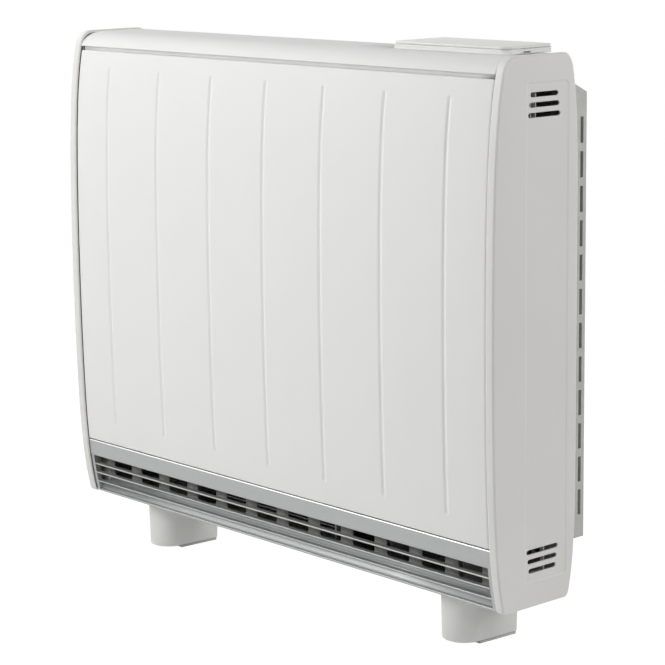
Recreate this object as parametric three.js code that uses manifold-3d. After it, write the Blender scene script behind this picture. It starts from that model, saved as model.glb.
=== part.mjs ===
// Storage heater: bowed front panel between two moulded end caps, silver warm-air
// grille at the foot, control pod with a flip lid on top, brick core inside.
// Millimetres, +Z up. The front faces -Y, the wall is at +Y, and the origin is on the
// floor under the middle of the heater.
import * as THREE from 'three';
import { mergeVertices } from 'three/addons/utils/BufferGeometryUtils.js';
import Module from 'manifold-3d';

const wasm = await Module();
wasm.setup();

// ---- driving dimensions -------------------------------------------------------------

// overall
const overallWidth = 822;
const overallDepth = 171;        // front of the bow to the wall
const bodyTop = 720;             // floor to the top of the end caps
const footHeight = 67;           // floor to the underside of the end caps
const capDepth = 143;            // front of the bow to the rear of the end caps
const seat = 0.2;                // gap between pieces that rest on each other
const slack = 0.3;               // gap round a piece that slides or passes through
const running = 0.1;             // gap between a shaft or pin and its bore
const sheet = 1.2;               // steel sheet of the casing

// side outline
const bowEven = 8.2;             // how far the front draws back, by the square of the height
const bowSteep = 12;             // and by its sixth power, near the top and bottom
const bowLean = 1.3;             // more at the top than at the bottom
const rearCurl = 13;             // how far the rear draws in at the top and bottom
const topRound = 19;
const bottomRound = 6;

// end caps
const capRim = 14;
const capWall = 2.6;
const capEdgeRound = 3;
const recessDepth = 1;
const recessFront = 53;          // front of the bow to the recess
const recessLength = 73;
const recessEnd = 30;            // recess to the top and bottom of the cap
const recessRound = 8;
const slotFromMiddle = 258;      // middle of the cap to the nearest slot
const slotPitch = 11.7;
const slotHeight = 5.6;
const slotLength = 53.5;
const slotShorter = 3.4;         // each slot is shorter than the one before
const slotBack = 84.5;           // front of the bow to the middle of a slot
const slotCount = 3;

// casing
const panelInset = 3;            // front panel behind the caps' outline
const coverInset = 1.5;          // top cover under the caps' outline
const panelReveal = 0.8;         // gap between the panel and a cap
const panelTopDrop = 25.6;       // top of the caps to the top of the front panel
const coverLipDrop = 20.2;       // top of the caps to the edge of the cover's front strip
const coverRearDrop = 30;
const panelLip = 7;
const grooveCount = 7;
const grooveWidth = 3.2;
const grooveDepth = 0.7;
const grooveFromTop = 19.4;      // top of the panel to the end of a groove
const grooveFromBottom = 28;
const grooveFromEnd = 69.2;      // end of the panel to the middle of the last groove
const trayUnderside = 69;
const backPanelInset = 14.7;     // rear of the caps to the face of the back panel
const backPanelLap = 9;          // back panel behind the cover's rear edge
const trayLip = 14;

// outlet
const grilleTop = 146.1;
const grilleFoot = 1;            // underside of the caps to the underside of the grille
const windowTop = 121.6;
const bladeCount = 3;
const bladePitch = 13.15;
const bladeHeight = 2.2;
const bladeDepth = 8;
const grilleEndStrip = 6;
const screenBehind = 29.5;       // front of the bow to the screen
const screenTop = 130;
const screenBottom = 91.5;
const screenHoleCount = 12;
const screenHoleWidth = 40;
const screenHoleHeight = 24;
const screenHoleBottom = 93.7;
const screenEndStrip = 31.1;     // end of the screen to the last hole
const deflectorReach = 5.8;
const deflectorBend = 74;
const deflectorSlope = 9.7;      // height of the sloping part
const screwRadius = 3;
const screwHead = 1.6;
const screwFromEnd = 18.4;

// feet
const footFromEnd = 117.5;       // end of the heater to the middle of a foot
const footWidth = 64;            // across the rear, where a foot is widest
const footNose = 28.5;           // radius of the round front
const footNoseBehind = 70;       // front of the bow to the middle of the round front
const footRearBehind = 133.5;    // front of the bow to the rear of a foot
const footDraft = 1;
const footWall = 3;
const padHeight = 3;
const padInset = 4;
const padSideInset = 1.2;
const padNose = 14;

// wall spacers and rail
const spacerTopGap = 49;         // top of the caps to the top of a spacer
const spacerBottomRise = 65;     // underside of the caps to the foot of a spacer
const spacerCorner = 12;
const spacerFlange = 22;
const spacerSlotCount = 12;
const spacerSlotPitch = 41;
const spacerSlotLength = 31;
const spacerSlotWidth = 5;
const spacerSlotFromWall = 5.5;
const railFromEnd = 111;         // end of the heater to the end of the rail
const railBelowTop = 80;         // top of the caps to the top of the rail
const railWallLeaf = 40;
const railPanelLeaf = 20;

// core
const standHeight = 88;          // tray to the top of the core stand
const standSheet = 1.6;
const midLegGap = 102;           // right end of the fan to the middle leg of the stand
const insulation = 20;
const sideInsulation = 18;
const coreDepth = 66;
const brickColumns = 4;
const brickRows = 2;
const brickHeight = 225;
const compartmentWidth = 74.8;   // wiring space between the core and the right side plate
const bendRoom = 36;             // space for the bends of the heating elements
const elementRadius = 4.2;
const elementSpread = 60;
const elementTail = 34;
const roundSides = 16;

// fan and damper
const fanLength = 300;
const fanRadius = 24;
const fanTipGap = 6;
const fanBlades = 14;
const fanBladeDepth = 8;
const fanCentreX = -60;
const fanBehindFront = 91.5;     // front of the bow to the fan's shaft
const fanAboveTray = 35;
const fanShaftRadius = 2.5;
const shaftEnd = 2;              // shaft past the bearing
const fanDisc = 2;
const fanDuct = 26;
const fanEndSheet = 2;
const bearingRadius = 6;
const bearingFlange = 3;
const motorRadius = 24;
const motorLength = 34;
const flapLength = 250;
const flapReach = 28;
const flapSheet = 1.5;
const flapPinRadius = 2;
const flapBehindFan = -18;       // the flap's pin lies in front of the fan's shaft
const flapBelowStand = 6;
const gateWidth = 230;
const gateReach = 20;
const gateFromPin = 4;
const earHalf = 4;
const earSheet = 3;
const actuatorLength = 30;
const actuatorWidth = 24;
const actuatorHeight = 16;
const plungerLength = 6;

// control pod
const podRightGap = 34;          // right end of the heater to the pod
const podLength = 188;
const podFrontGap = 56.5;        // front of the bow to the pod
const podWidth = 77;
const podHeight = 6.3;
const podRound = 12;             // corner of the pod that faces the room
const podRearRound = 4;
const podLeftRound = 2;
const podWall = 1.6;
const podDeckDrop = 2.1;
const podDeck = 2;
const podFlange = 9;
const podSkirt = 17;
const lidSheet = 3.1;
const lidOverhang = 2;
const lidRear = 4.2;             // rear of the pod to the rear of the lid
const lidFromLeft = 4;           // left end of the pod to the left end of the lid
const lidRound = 14;
const lidLeftRound = 3;
const hingePinRadius = 0.8;
const hingeBehindPod = 2.6;
const hingeBarrel = 2.1;
const hingeWeb = 1.1;
const hingeBelowLid = 2.4;
const hingeEarWidth = 6;
const hingeKnuckle = 9;
const hingeFromEnd = 15;
const boardSheet = 1.6;
const boardDrop = 12;
const buttonRadius = 5;
const buttonPitch = 14.5;
const buttonRise = 1.4;
const buttonFlange = 1.5;
const buttonStemRadius = 2;
const buttonShoulder = 1.6;      // how far the flange stands out past the key
const switchSize = 6;
const switchHeight = 2;
const buttonTravel = 1.2;
const windowLength = 56;
const windowWidth = 24;
const windowSheet = 1.6;
const windowFromEnd = 14;
const displayInset = 2;

// wiring compartment
const cutoutRadius = 11;
const cutoutLength = 12;
const cutoutBelowSlab = 49.4;    // top of the insulation to the middle of the cut-out
const cutoutFloor = 4;
const resetRadius = 2.5;
const resetProud = 2;
const resetTravel = 1.5;
const terminalLength = 48;
const terminalWidth = 22;
const terminalHeight = 18;
const terminalWell = 3;
const terminalFromPlate = 37.6;
const glandFromPlate = 37.6;
const glandRise = 41.8;          // tray to the middle of the gland
const glandLip = 4;
const glandRadius = 8;
const glandNeck = 6;
const glandBore = 4;
const sensorWidth = 12;
const sensorHeight = 20;
const sensorDepth = 7;

// ---- places worked out from them ----------------------------------------------------

const endX = overallWidth / 2;
const capInnerX = endX - capRim;
const plateOuterX = capInnerX - seat;
const plateInnerX = plateOuterX - sheet;
const panelEndX = capInnerX - panelReveal;
const insideX = plateInnerX - seat;
const frontY = -overallDepth / 2;
const wallY = overallDepth / 2;
const rearY = frontY + capDepth;
const middleZ = (bodyTop + footHeight) / 2;
const halfHeight = (bodyTop - footHeight) / 2;
const panelTop = bodyTop - panelTopDrop;
const panelBottom = grilleTop + seat;
const panelInside = panelInset + sheet + seat;
const coverInside = coverInset + sheet + seat;
const coverTop = bodyTop - coverInset;
const coverUnderside = coverTop - sheet;
const backPanelFace = rearY - backPanelInset;
const backPanelRear = backPanelFace + sheet;
const trayTop = trayUnderside + sheet;
const trayFrontY = frontAt(trayUnderside) + panelInside + bottomRound;
const standTop = trayTop + seat + standHeight;
const coreRearY = backPanelFace - seat - insulation - seat;
const coreFrontY = coreRearY - coreDepth;
const frontSlabY = coreFrontY - seat - insulation;
const coreBottom = standTop + seat + insulation + seat;
const coreTop = coreBottom + brickRows * (brickHeight + seat);
const compartmentX = insideX - compartmentWidth;
const rightSlabX = compartmentX - insulation;
const coreRightX = rightSlabX - seat;
const leftSlabX = -insideX + seat + sideInsulation;
const coreLeftX = leftSlabX + bendRoom;
const brickWidth = (coreRightX - coreLeftX) / brickColumns - seat;
const slabTop = coreTop + seat + insulation;
const podRightX = endX - podRightGap;
const podLeftX = podRightX - podLength;
const podFrontY = frontY + podFrontGap;
const podRearY = podFrontY + podWidth;
const podBottom = coverTop + seat;
const podTop = podBottom + podHeight;
const deckTop = podTop - podDeckDrop;
const deckUnderside = deckTop - podDeck;
const skirtBottom = podBottom - podSkirt;
const boardTop = deckUnderside - boardDrop;
const lidUnderside = podTop + slack;
const hingeY = podRearY + hingeBehindPod;
const hingeZ = lidUnderside - hingeBelowLid;
const fanCentreY = frontY + fanBehindFront;
const fanZ = trayTop + fanAboveTray;
const flapPinY = fanCentreY + flapBehindFan;
const gateRearY = flapPinY - gateFromPin;
const flapPinZ = standTop - standSheet - flapBelowStand;
const terminalX = plateInnerX - terminalFromPlate;
const glandX = plateInnerX - glandFromPlate;
const glandZ = trayTop + glandRise;
const groovePitch = (2 * (panelEndX - grooveFromEnd)) / (grooveCount - 1);
const screenHolePitch = (2 * (insideX - screenEndStrip) - screenHoleWidth) / (screenHoleCount - 1);
const footX = endX - footFromEnd;
const railEndX = endX - railFromEnd;
const railTop = bodyTop - railBelowTop;
const cutoutZ = slabTop - cutoutBelowSlab;

// Y of the caps' front edge at a height: the bow.
function frontAt(z) {
  const t = (z - middleZ) / halfHeight;
  return frontY + bowEven * t ** 2 + bowSteep * t ** 6 + bowLean * t ** 3;
}

// Y of the caps' rear edge at a height: straight, curling in at the top and bottom.
function rearAt(z) {
  const t = (z - middleZ) / halfHeight;
  return rearY - rearCurl * t ** 7 * Math.sign(t);
}

// ---- solid helpers ------------------------------------------------------------------

function toSolid(geometry) {
  geometry.deleteAttribute('normal');
  geometry.deleteAttribute('uv');
  const merged = mergeVertices(geometry, 1e-4);
  return new wasm.Manifold(new wasm.Mesh({
    numProp: 3,
    vertProperties: new Float32Array(merged.attributes.position.array),
    triVerts: new Uint32Array(merged.index.array),
  }));
}

function toGeometry(solid) {
  const mesh = solid.getMesh();
  const geometry = new THREE.BufferGeometry();
  geometry.setAttribute('position', new THREE.BufferAttribute(mesh.vertProperties, 3));
  geometry.setIndex(new THREE.BufferAttribute(mesh.triVerts, 1));
  geometry.computeVertexNormals();
  return geometry;
}

const join = (first, ...others) => others.reduce((whole, next) => whole.add(next), first);
const cut = (first, ...others) => others.reduce((rest, next) => rest.subtract(next), first);

function block(x0, x1, y0, y1, z0, z1) {
  const geometry = new THREE.BoxGeometry(x1 - x0, y1 - y0, z1 - z0);
  geometry.translate((x0 + x1) / 2, (y0 + y1) / 2, (z0 + z1) / 2);
  return toSolid(geometry);
}

// Extrudes a shape drawn in (Y, Z) along X.
function alongX(shape, x0, x1, options = {}) {
  const geometry = new THREE.ExtrudeGeometry(shape, {
    depth: x1 - x0, bevelEnabled: false, curveSegments: 6, ...options,
  });
  const turn = new THREE.Matrix4().makeBasis(
    new THREE.Vector3(0, 1, 0), new THREE.Vector3(0, 0, 1), new THREE.Vector3(1, 0, 0),
  );
  geometry.applyMatrix4(turn);
  geometry.translate(x0, 0, 0);
  return toSolid(geometry);
}

// Extrudes a shape drawn in (X, Y) upwards.
function upwards(shape, z0, z1) {
  const geometry = new THREE.ExtrudeGeometry(shape, {
    depth: z1 - z0, bevelEnabled: false, curveSegments: 4,
  });
  geometry.translate(0, 0, z0);
  return toSolid(geometry);
}

function rodX(radius, x0, x1, y, z, sides = roundSides) {
  const geometry = new THREE.CylinderGeometry(radius, radius, x1 - x0, sides);
  geometry.rotateZ(Math.PI / 2);
  geometry.translate((x0 + x1) / 2, y, z);
  return toSolid(geometry);
}

function rodY(radius, y0, y1, x, z, sides = roundSides) {
  const geometry = new THREE.CylinderGeometry(radius, radius, y1 - y0, sides);
  geometry.translate(x, (y0 + y1) / 2, z);
  return toSolid(geometry);
}

function rodZ(radius, z0, z1, x, y, sides = roundSides) {
  const geometry = new THREE.CylinderGeometry(radius, radius, z1 - z0, sides);
  geometry.rotateX(Math.PI / 2);
  geometry.translate(x, y, (z0 + z1) / 2);
  return toSolid(geometry);
}

function roundedRect(u0, u1, v0, v1, radius, farRadius = radius, leftRadius = radius) {
  const shape = new THREE.Shape();
  shape.moveTo(u0 + leftRadius, v0);
  shape.lineTo(u1 - radius, v0);
  shape.absarc(u1 - radius, v0 + radius, radius, -Math.PI / 2, 0, false);
  shape.lineTo(u1, v1 - farRadius);
  shape.absarc(u1 - farRadius, v1 - farRadius, farRadius, 0, Math.PI / 2, false);
  shape.lineTo(u0 + leftRadius, v1);
  shape.absarc(u0 + leftRadius, v1 - leftRadius, leftRadius, Math.PI / 2, Math.PI, false);
  shape.lineTo(u0, v0 + leftRadius);
  shape.absarc(u0 + leftRadius, v0 + leftRadius, leftRadius, Math.PI, Math.PI * 1.5, false);
  return shape;
}

function polygon(points) {
  const shape = new THREE.Shape();
  shape.setFromPoints(points.map(([u, v]) => new THREE.Vector2(u, v)));
  return shape;
}

// The side outline in (Y, Z), drawn in by its own amount at the front, top, rear and foot.
function sideOutline(front, top = front, rear = front, foot = front) {
  const highZ = bodyTop - top;
  const lowZ = footHeight + foot;
  const frontSteps = 16;
  const rearSteps = 10;
  const frontHigh = bodyTop - topRound;
  const lowStart = footHeight + bottomRound;
  const shape = new THREE.Shape();
  shape.moveTo(frontAt(lowZ) + front + bottomRound, lowZ);
  shape.quadraticCurveTo(frontAt(lowZ) + front, lowZ, frontAt(lowStart) + front, lowStart);
  for (let i = 1; i <= frontSteps; i += 1) {
    const z = lowStart + (frontHigh - lowStart) * (i / frontSteps);
    shape.lineTo(frontAt(z) + front, z);
  }
  shape.quadraticCurveTo(frontAt(bodyTop) + front, highZ, frontAt(bodyTop) + front + topRound, highZ);
  shape.lineTo(rearAt(bodyTop) - rear - topRound / 2, highZ);
  shape.quadraticCurveTo(rearAt(bodyTop) - rear, highZ, rearAt(frontHigh) - rear, frontHigh);
  for (let i = 1; i <= rearSteps; i += 1) {
    const z = frontHigh + (lowStart - frontHigh) * (i / rearSteps);
    shape.lineTo(rearAt(z) - rear, z);
  }
  shape.quadraticCurveTo(rearAt(lowZ) - rear, lowZ, rearAt(lowZ) - rear - bottomRound, lowZ);
  return shape;
}

// A sheet that follows the side outline over a range of heights.
function outlineSheet(inset, z0, z1, y0, y1, halfLength, foot = inset) {
  const outer = alongX(sideOutline(inset, inset, inset, foot), -halfLength, halfLength);
  const skin = inset + sheet;
  const inner = alongX(sideOutline(skin, skin, skin, foot + sheet), -endX, endX);
  return cut(outer, inner).intersect(block(-endX, endX, y0, y1, z0, z1));
}

// The outline's solid between two heights, back to a distance behind the front.
function outlineLip(inset, z0, z1, reach, halfLength) {
  const solid = alongX(sideOutline(inset), -halfLength, halfLength);
  const back = frontAt((z0 + z1) / 2) + inset + reach;
  return solid.intersect(block(-endX, endX, frontY, back, z0, z1));
}

// ---- finishes -----------------------------------------------------------------------

const finish = (color, roughness, metalness) => ({ color, roughness, metalness });
const whitePaint = finish(0xf1f1ef, 0.35, 0);
const whitePlastic = finish(0xe6e5e1, 0.5, 0);
const silverPaint = finish(0xb4b5b5, 0.4, 0.6);
const darkSheet = finish(0x5d6063, 0.6, 0.4);
const zincSheet = finish(0xa7a9a8, 0.45, 0.8);
const brickClay = finish(0x6e4a3a, 0.95, 0);
const boardFibre = finish(0xd9d4c6, 0.95, 0);
const elementSteel = finish(0x77706a, 0.5, 0.8);
const blackPlastic = finish(0x26272a, 0.6, 0);
const greyRubber = finish(0x8b8c8b, 0.9, 0);
const brass = finish(0xb9974f, 0.4, 0.9);
const greenBoard = finish(0x2d6a45, 0.6, 0);
const redPlastic = finish(0xa5352c, 0.5, 0);
const smokedWindow = finish(0x59615c, 0.15, 0);

const heater = new THREE.Group();

function place(name, solid, look, position = [0, 0, 0], parent = heater) {
  const mesh = new THREE.Mesh(toGeometry(solid), new THREE.MeshStandardMaterial(look));
  mesh.name = name;
  mesh.position.set(...position);
  parent.add(mesh);
  return mesh;
}

// ---- end caps -----------------------------------------------------------------------

function ventSlots() {
  const slots = [];
  for (const up of [1, -1]) {
    for (let i = 0; i < slotCount; i += 1) {
      const z = middleZ + up * (slotFromMiddle + i * slotPitch);
      const half = (slotLength - i * slotShorter) / 2;
      const y = frontY + slotBack;
      const shape = roundedRect(y - half, y + half, z - slotHeight / 2, z + slotHeight / 2,
        slotHeight / 2 - 0.01);
      slots.push(alongX(shape, -endX - 1, endX + 1, { curveSegments: 4 }));
    }
  }
  return slots;
}

function makeEndCaps() {
  const full = alongX(sideOutline(capEdgeRound), -endX + capEdgeRound, endX - capEdgeRound, {
    bevelEnabled: true,
    bevelSize: capEdgeRound,
    bevelThickness: capEdgeRound,
    bevelSegments: 2,
  });
  const cavity = alongX(sideOutline(capWall), -endX + capWall, endX - capWall);
  const recessY = frontY + recessFront;
  const recess = alongX(
    roundedRect(recessY, recessY + recessLength, footHeight + recessEnd, bodyTop - recessEnd,
      recessRound),
    -endX - 1, endX + 1,
  );
  const recessCore = block(-endX + recessDepth, endX - recessDepth, frontY, wallY, 0, bodyTop);
  const shell = cut(full, cavity, cut(recess, recessCore), ...ventSlots());
  const leftHalf = block(-endX - 1, -capInnerX, frontY - 1, wallY, 0, bodyTop + 1);
  const rightHalf = block(capInnerX, endX + 1, frontY - 1, wallY, 0, bodyTop + 1);
  place('end_cap_left', shell.intersect(leftHalf), whitePlastic);
  place('end_cap_right', shell.intersect(rightHalf), whitePlastic);
}

// ---- casing -------------------------------------------------------------------------

function makeFrontPanel() {
  const skin = outlineSheet(panelInset, panelBottom, panelTop, frontY, 0, panelEndX);
  const topLip = outlineLip(panelInset, panelTop - sheet, panelTop, panelLip, insideX);
  const footLip = outlineLip(panelInset, panelBottom, panelBottom + sheet, panelLip, insideX);
  const outside = alongX(sideOutline(panelInset - 1), -endX, endX);
  const depth = alongX(sideOutline(panelInset + grooveDepth), -endX - 1, endX + 1);
  const grooves = [];
  for (let i = 0; i < grooveCount; i += 1) {
    const x = (i - (grooveCount - 1) / 2) * groovePitch;
    grooves.push(block(x - grooveWidth / 2, x + grooveWidth / 2, frontY - 1, 0,
      panelBottom + grooveFromBottom, panelTop - grooveFromTop));
  }
  const grooveCut = cut(outside, depth).intersect(join(...grooves));
  place('front_panel', cut(join(skin, topLip, footLip), grooveCut), whitePaint);
}

function podOpening(gap) {
  return [podLeftX + podFlange - gap, podRightX - podFlange + gap,
    podFrontY + podFlange - gap, podRearY - podFlange + gap];
}

function makeTopCover() {
  const skin = outlineSheet(coverInset, bodyTop - coverRearDrop, bodyTop, frontY, wallY, panelEndX);
  const frontTrim = block(-endX, endX, frontY, (frontY + rearY) / 2, 0, bodyTop - coverLipDrop);
  const opening = block(...podOpening(0), skirtBottom, coverTop + 1);
  place('top_cover', cut(skin, frontTrim, opening), whitePaint);
}

function makeSidePlates() {
  const outline = sideOutline(panelInside, coverInside, coverInside, panelInside);
  const behind = block(-endX, endX, backPanelRear, wallY, 0, bodyTop);
  const ventY = frontY + slotBack;
  const windows = [1, -1].map((up) => {
    const near = middleZ + up * (slotFromMiddle - slotPitch / 2);
    const far = middleZ + up * (slotFromMiddle + (slotCount - 0.5) * slotPitch);
    return block(-endX, endX, ventY - slotLength / 2, ventY + slotLength / 2,
      Math.min(near, far), Math.max(near, far));
  });
  place('side_plate_left', cut(alongX(outline, -plateOuterX, -plateInnerX), behind, ...windows),
    zincSheet);
  place('side_plate_right', cut(alongX(outline, plateInnerX, plateOuterX), behind, ...windows),
    zincSheet);
}

function makeBackPanel() {
  const plate = block(-insideX, insideX, backPanelFace, backPanelRear, trayTop + seat,
    bodyTop - coverRearDrop + backPanelLap);
  const glandHole = rodY(glandNeck, backPanelFace - 1, backPanelRear + 1, glandX, glandZ);
  place('back_panel', cut(plate, glandHole), zincSheet);
}

function makeBaseTray() {
  const floor = block(-insideX, insideX, trayFrontY, backPanelRear, trayUnderside, trayTop);
  const lips = [-1, 1].map((side) => {
    const x0 = side < 0 ? -insideX : insideX - sheet;
    return block(x0, x0 + sheet, trayFrontY, backPanelFace - seat, trayUnderside, trayTop + trayLip);
  });
  place('base_tray', join(floor, ...lips), zincSheet);
}

// ---- warm-air outlet ----------------------------------------------------------------

function makeGrille() {
  const skin = outlineSheet(panelInset, footHeight, grilleTop, frontY, trayFrontY - seat,
    panelEndX, grilleFoot);
  const topLip = outlineLip(panelInset, grilleTop - sheet, grilleTop, panelLip, insideX);
  const windowX = panelEndX - grilleEndStrip;
  const windows = [];
  const blades = [];
  for (let i = 0; i <= bladeCount; i += 1) {
    const top = windowTop - i * bladePitch;
    const bottom = top - bladePitch + bladeHeight;
    windows.push(block(-windowX, windowX, frontY - 1, 0, bottom, top));
    if (i < bladeCount) {
      const front = frontAt(bottom) + panelInset + sheet / 2;
      blades.push(block(-windowX - 1, windowX + 1, front, front + bladeDepth,
        bottom - bladeHeight, bottom - bladeHeight + sheet));
    }
  }
  place('outlet_grille', join(cut(join(skin, topLip), ...windows), ...blades), silverPaint);
}

function makeScreen() {
  const screenY = frontY + screenBehind;
  const plate = block(-insideX, insideX, screenY, screenY + sheet, screenBottom, screenTop);
  const holes = [];
  for (let i = 0; i < screenHoleCount; i += 1) {
    const x = (i - (screenHoleCount - 1) / 2) * screenHolePitch;
    holes.push(block(x - screenHoleWidth / 2, x + screenHoleWidth / 2, frontY, 0,
      screenHoleBottom, screenHoleBottom + screenHoleHeight));
  }
  place('outlet_screen', cut(plate, ...holes), darkSheet);
}

function makeScreenLedge() {
  const ledge = alongX(sideOutline(panelInside), -insideX, insideX)
    .intersect(block(-endX, endX, frontY, frontY + screenBehind - seat,
      screenTop - sheet, screenTop));
  place('screen_ledge', ledge, darkSheet);
}

function makeDeflector() {
  const backY = frontY + screenBehind;
  const lowY = backY - deflectorReach;
  const topZ = screenBottom - seat;
  const footZ = trayTop + seat;
  const flange = screwRadius * 3;
  const halfLength = insideX - sheet - seat;
  const bend = deflectorBend + deflectorSlope;
  const outline = polygon([
    [lowY, footZ], [lowY + flange, footZ], [lowY + flange, footZ + sheet],
    [lowY + sheet, footZ + sheet], [lowY + sheet, deflectorBend], [backY + sheet, bend],
    [backY + sheet, topZ], [backY, topZ], [backY, bend], [lowY, deflectorBend],
  ]);
  const screwZ = (bend + topZ) / 2;
  const screwX = insideX - screwFromEnd;
  const holes = [-screwX, screwX].map((x) => rodY(screwRadius / 2 + slack, backY - 1,
    backY + sheet + 1, x, screwZ, 8));
  place('outlet_deflector', cut(alongX(outline, -halfLength, halfLength), ...holes), silverPaint);
  for (const [name, x] of [['deflector_screw_left', -screwX], ['deflector_screw_right', screwX]]) {
    const head = rodY(screwRadius, backY - seat - screwHead, backY - seat, x, screwZ);
    const shank = rodY(screwRadius / 2, backY - seat - screwHead / 2, backY + sheet + screwRadius,
      x, screwZ, 8);
    place(name, join(head, shank), zincSheet);
  }
}

// ---- feet ---------------------------------------------------------------------------

// A foot's plan: round in front, wider and square at the rear, drawn in all round.
function footPlan(inset) {
  const rearHalf = footWidth / 2 - inset;
  const radius = footNose - inset;
  const noseY = frontY + footNoseBehind;
  const rear = frontY + footRearBehind - inset;
  const shape = new THREE.Shape();
  shape.moveTo(-rearHalf, rear);
  shape.lineTo(-radius, noseY);
  shape.absarc(0, noseY, radius, Math.PI, 0, false);
  shape.lineTo(rearHalf, rear);
  return shape;
}

// A pad's plan: as wide as the foot behind its round front, with a narrower tongue under it.
function padPlan() {
  const rearHalf = footWidth / 2 - padSideInset;
  const frontHalf = footNose - padSideInset;
  const noseY = frontY + footNoseBehind;
  const rear = frontY + footRearBehind - padInset;
  const shape = new THREE.Shape();
  shape.moveTo(-rearHalf, rear);
  shape.lineTo(-frontHalf, noseY);
  shape.lineTo(-padNose, noseY);
  shape.absarc(0, noseY, padNose, Math.PI, 0, false);
  shape.lineTo(frontHalf, noseY);
  shape.lineTo(rearHalf, rear);
  return shape;
}

function footBlock(inset, lowInset, z0, z1) {
  const geometry = new THREE.ExtrudeGeometry(footPlan(inset), {
    depth: z1 - z0, bevelEnabled: false, curveSegments: 16,
  });
  geometry.translate(0, 0, z0);
  const middleY = frontY + (footNoseBehind - footNose + footRearBehind) / 2;
  const points = geometry.attributes.position;
  const shrink = (footWidth - 2 * lowInset) / (footWidth - 2 * inset);
  for (let i = 0; i < points.count; i += 1) {
    if (points.getZ(i) < (z0 + z1) / 2) {
      points.setX(i, points.getX(i) * shrink);
      points.setY(i, middleY + (points.getY(i) - middleY) * shrink);
    }
  }
  return toSolid(geometry);
}

function makeFeet() {
  const top = trayUnderside - seat;
  const outer = footBlock(0, footDraft, padHeight, top);
  const hollow = footBlock(footWall, footDraft + footWall, padHeight + footWall, top + 1);
  const shell = cut(outer, hollow);
  const pad = upwards(padPlan(), 0, padHeight - seat);
  for (const [side, x] of [['left', -footX], ['right', footX]]) {
    place(`foot_${side}`, shell, whitePlastic, [x, 0, 0]);
    place(`foot_pad_${side}`, pad, greyRubber, [x, 0, 0]);
  }
}

// ---- wall spacers and rail ----------------------------------------------------------

function makeSpacers() {
  const nearY = backPanelRear + seat;
  const top = bodyTop - spacerTopGap;
  const bottom = footHeight + spacerBottomRise;
  const outline = polygon([
    [nearY, bottom], [wallY, bottom], [wallY, top], [wallY - 2 * spacerCorner, top + spacerCorner],
    [nearY, top + spacerCorner],
  ]);
  const slotY = wallY - spacerSlotFromWall;
  const slots = [];
  const firstZ = (top + bottom) / 2 - ((spacerSlotCount - 1) / 2) * spacerSlotPitch;
  for (let i = 0; i < spacerSlotCount; i += 1) {
    const z = firstZ + i * spacerSlotPitch;
    slots.push(block(-endX, endX, slotY - spacerSlotWidth, slotY,
      z - spacerSlotLength / 2, z + spacerSlotLength / 2));
  }
  for (const [name, side] of [['wall_spacer_left', -1], ['wall_spacer_right', 1]]) {
    const outerX = side * capInnerX;
    const webX = side * (capInnerX - sheet);
    const flangeX = side * (capInnerX - spacerFlange);
    const span = (a, b) => [Math.min(a, b), Math.max(a, b)];
    const web = cut(alongX(outline, ...span(outerX, webX)), ...slots);
    const wallFlange = block(...span(outerX, flangeX), wallY - sheet, wallY, bottom, top);
    const panelFlange = block(...span(outerX, flangeX), nearY, nearY + sheet, bottom,
      top + spacerCorner);
    place(name, join(web, wallFlange, panelFlange), zincSheet);
  }
}

function makeWallRail() {
  const nearY = backPanelRear + seat;
  const outline = polygon([
    [wallY, railTop - railWallLeaf], [wallY, railTop], [nearY, railTop],
    [nearY, railTop - railPanelLeaf], [nearY + sheet, railTop - railPanelLeaf],
    [nearY + sheet, railTop - sheet], [wallY - sheet, railTop - sheet],
    [wallY - sheet, railTop - railWallLeaf],
  ]);
  place('wall_rail', alongX(outline, -railEndX, railEndX), zincSheet);
}

// ---- core ---------------------------------------------------------------------------

// The way down for the warm air, over the damper flap.
function warmAirGate(z0, z1) {
  return block(fanCentreX - gateWidth / 2, fanCentreX + gateWidth / 2,
    gateRearY - gateReach, gateRearY, z0, z1);
}

function makeStand() {
  const legX = [-insideX, fanCentreX + fanLength / 2 + midLegGap, compartmentX - standSheet];
  const top = block(-insideX, compartmentX, frontSlabY, backPanelFace - seat,
    standTop - standSheet, standTop);
  const legs = legX.map((x) => block(x, x + standSheet, coreFrontY, backPanelFace - seat,
    trayTop + seat, standTop));
  const legGaps = block(-insideX + sheet + seat, compartmentX, frontY, wallY, 0, trayTop);
  const gate = warmAirGate(standTop - standSheet - 1, standTop + 1);
  const earX = flapLength / 2 + slack;
  const ears = [-1, 1].map((side) => {
    const near = fanCentreX + side * earX;
    const far = near + side * earSheet;
    const ear = block(Math.min(near, far), Math.max(near, far), flapPinY - earHalf,
      flapPinY + earHalf, flapPinZ - earHalf, standTop - standSheet / 2);
    return cut(ear, rodX(flapPinRadius + running, -endX, endX, flapPinY, flapPinZ));
  });
  const leftNotch = block(-insideX - 1, -insideX + sheet + seat, frontY, wallY,
    0, trayTop + trayLip + seat);
  place('core_stand', cut(join(cut(top, gate), ...legs, ...ears), legGaps, leftNotch), zincSheet);
}

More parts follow.
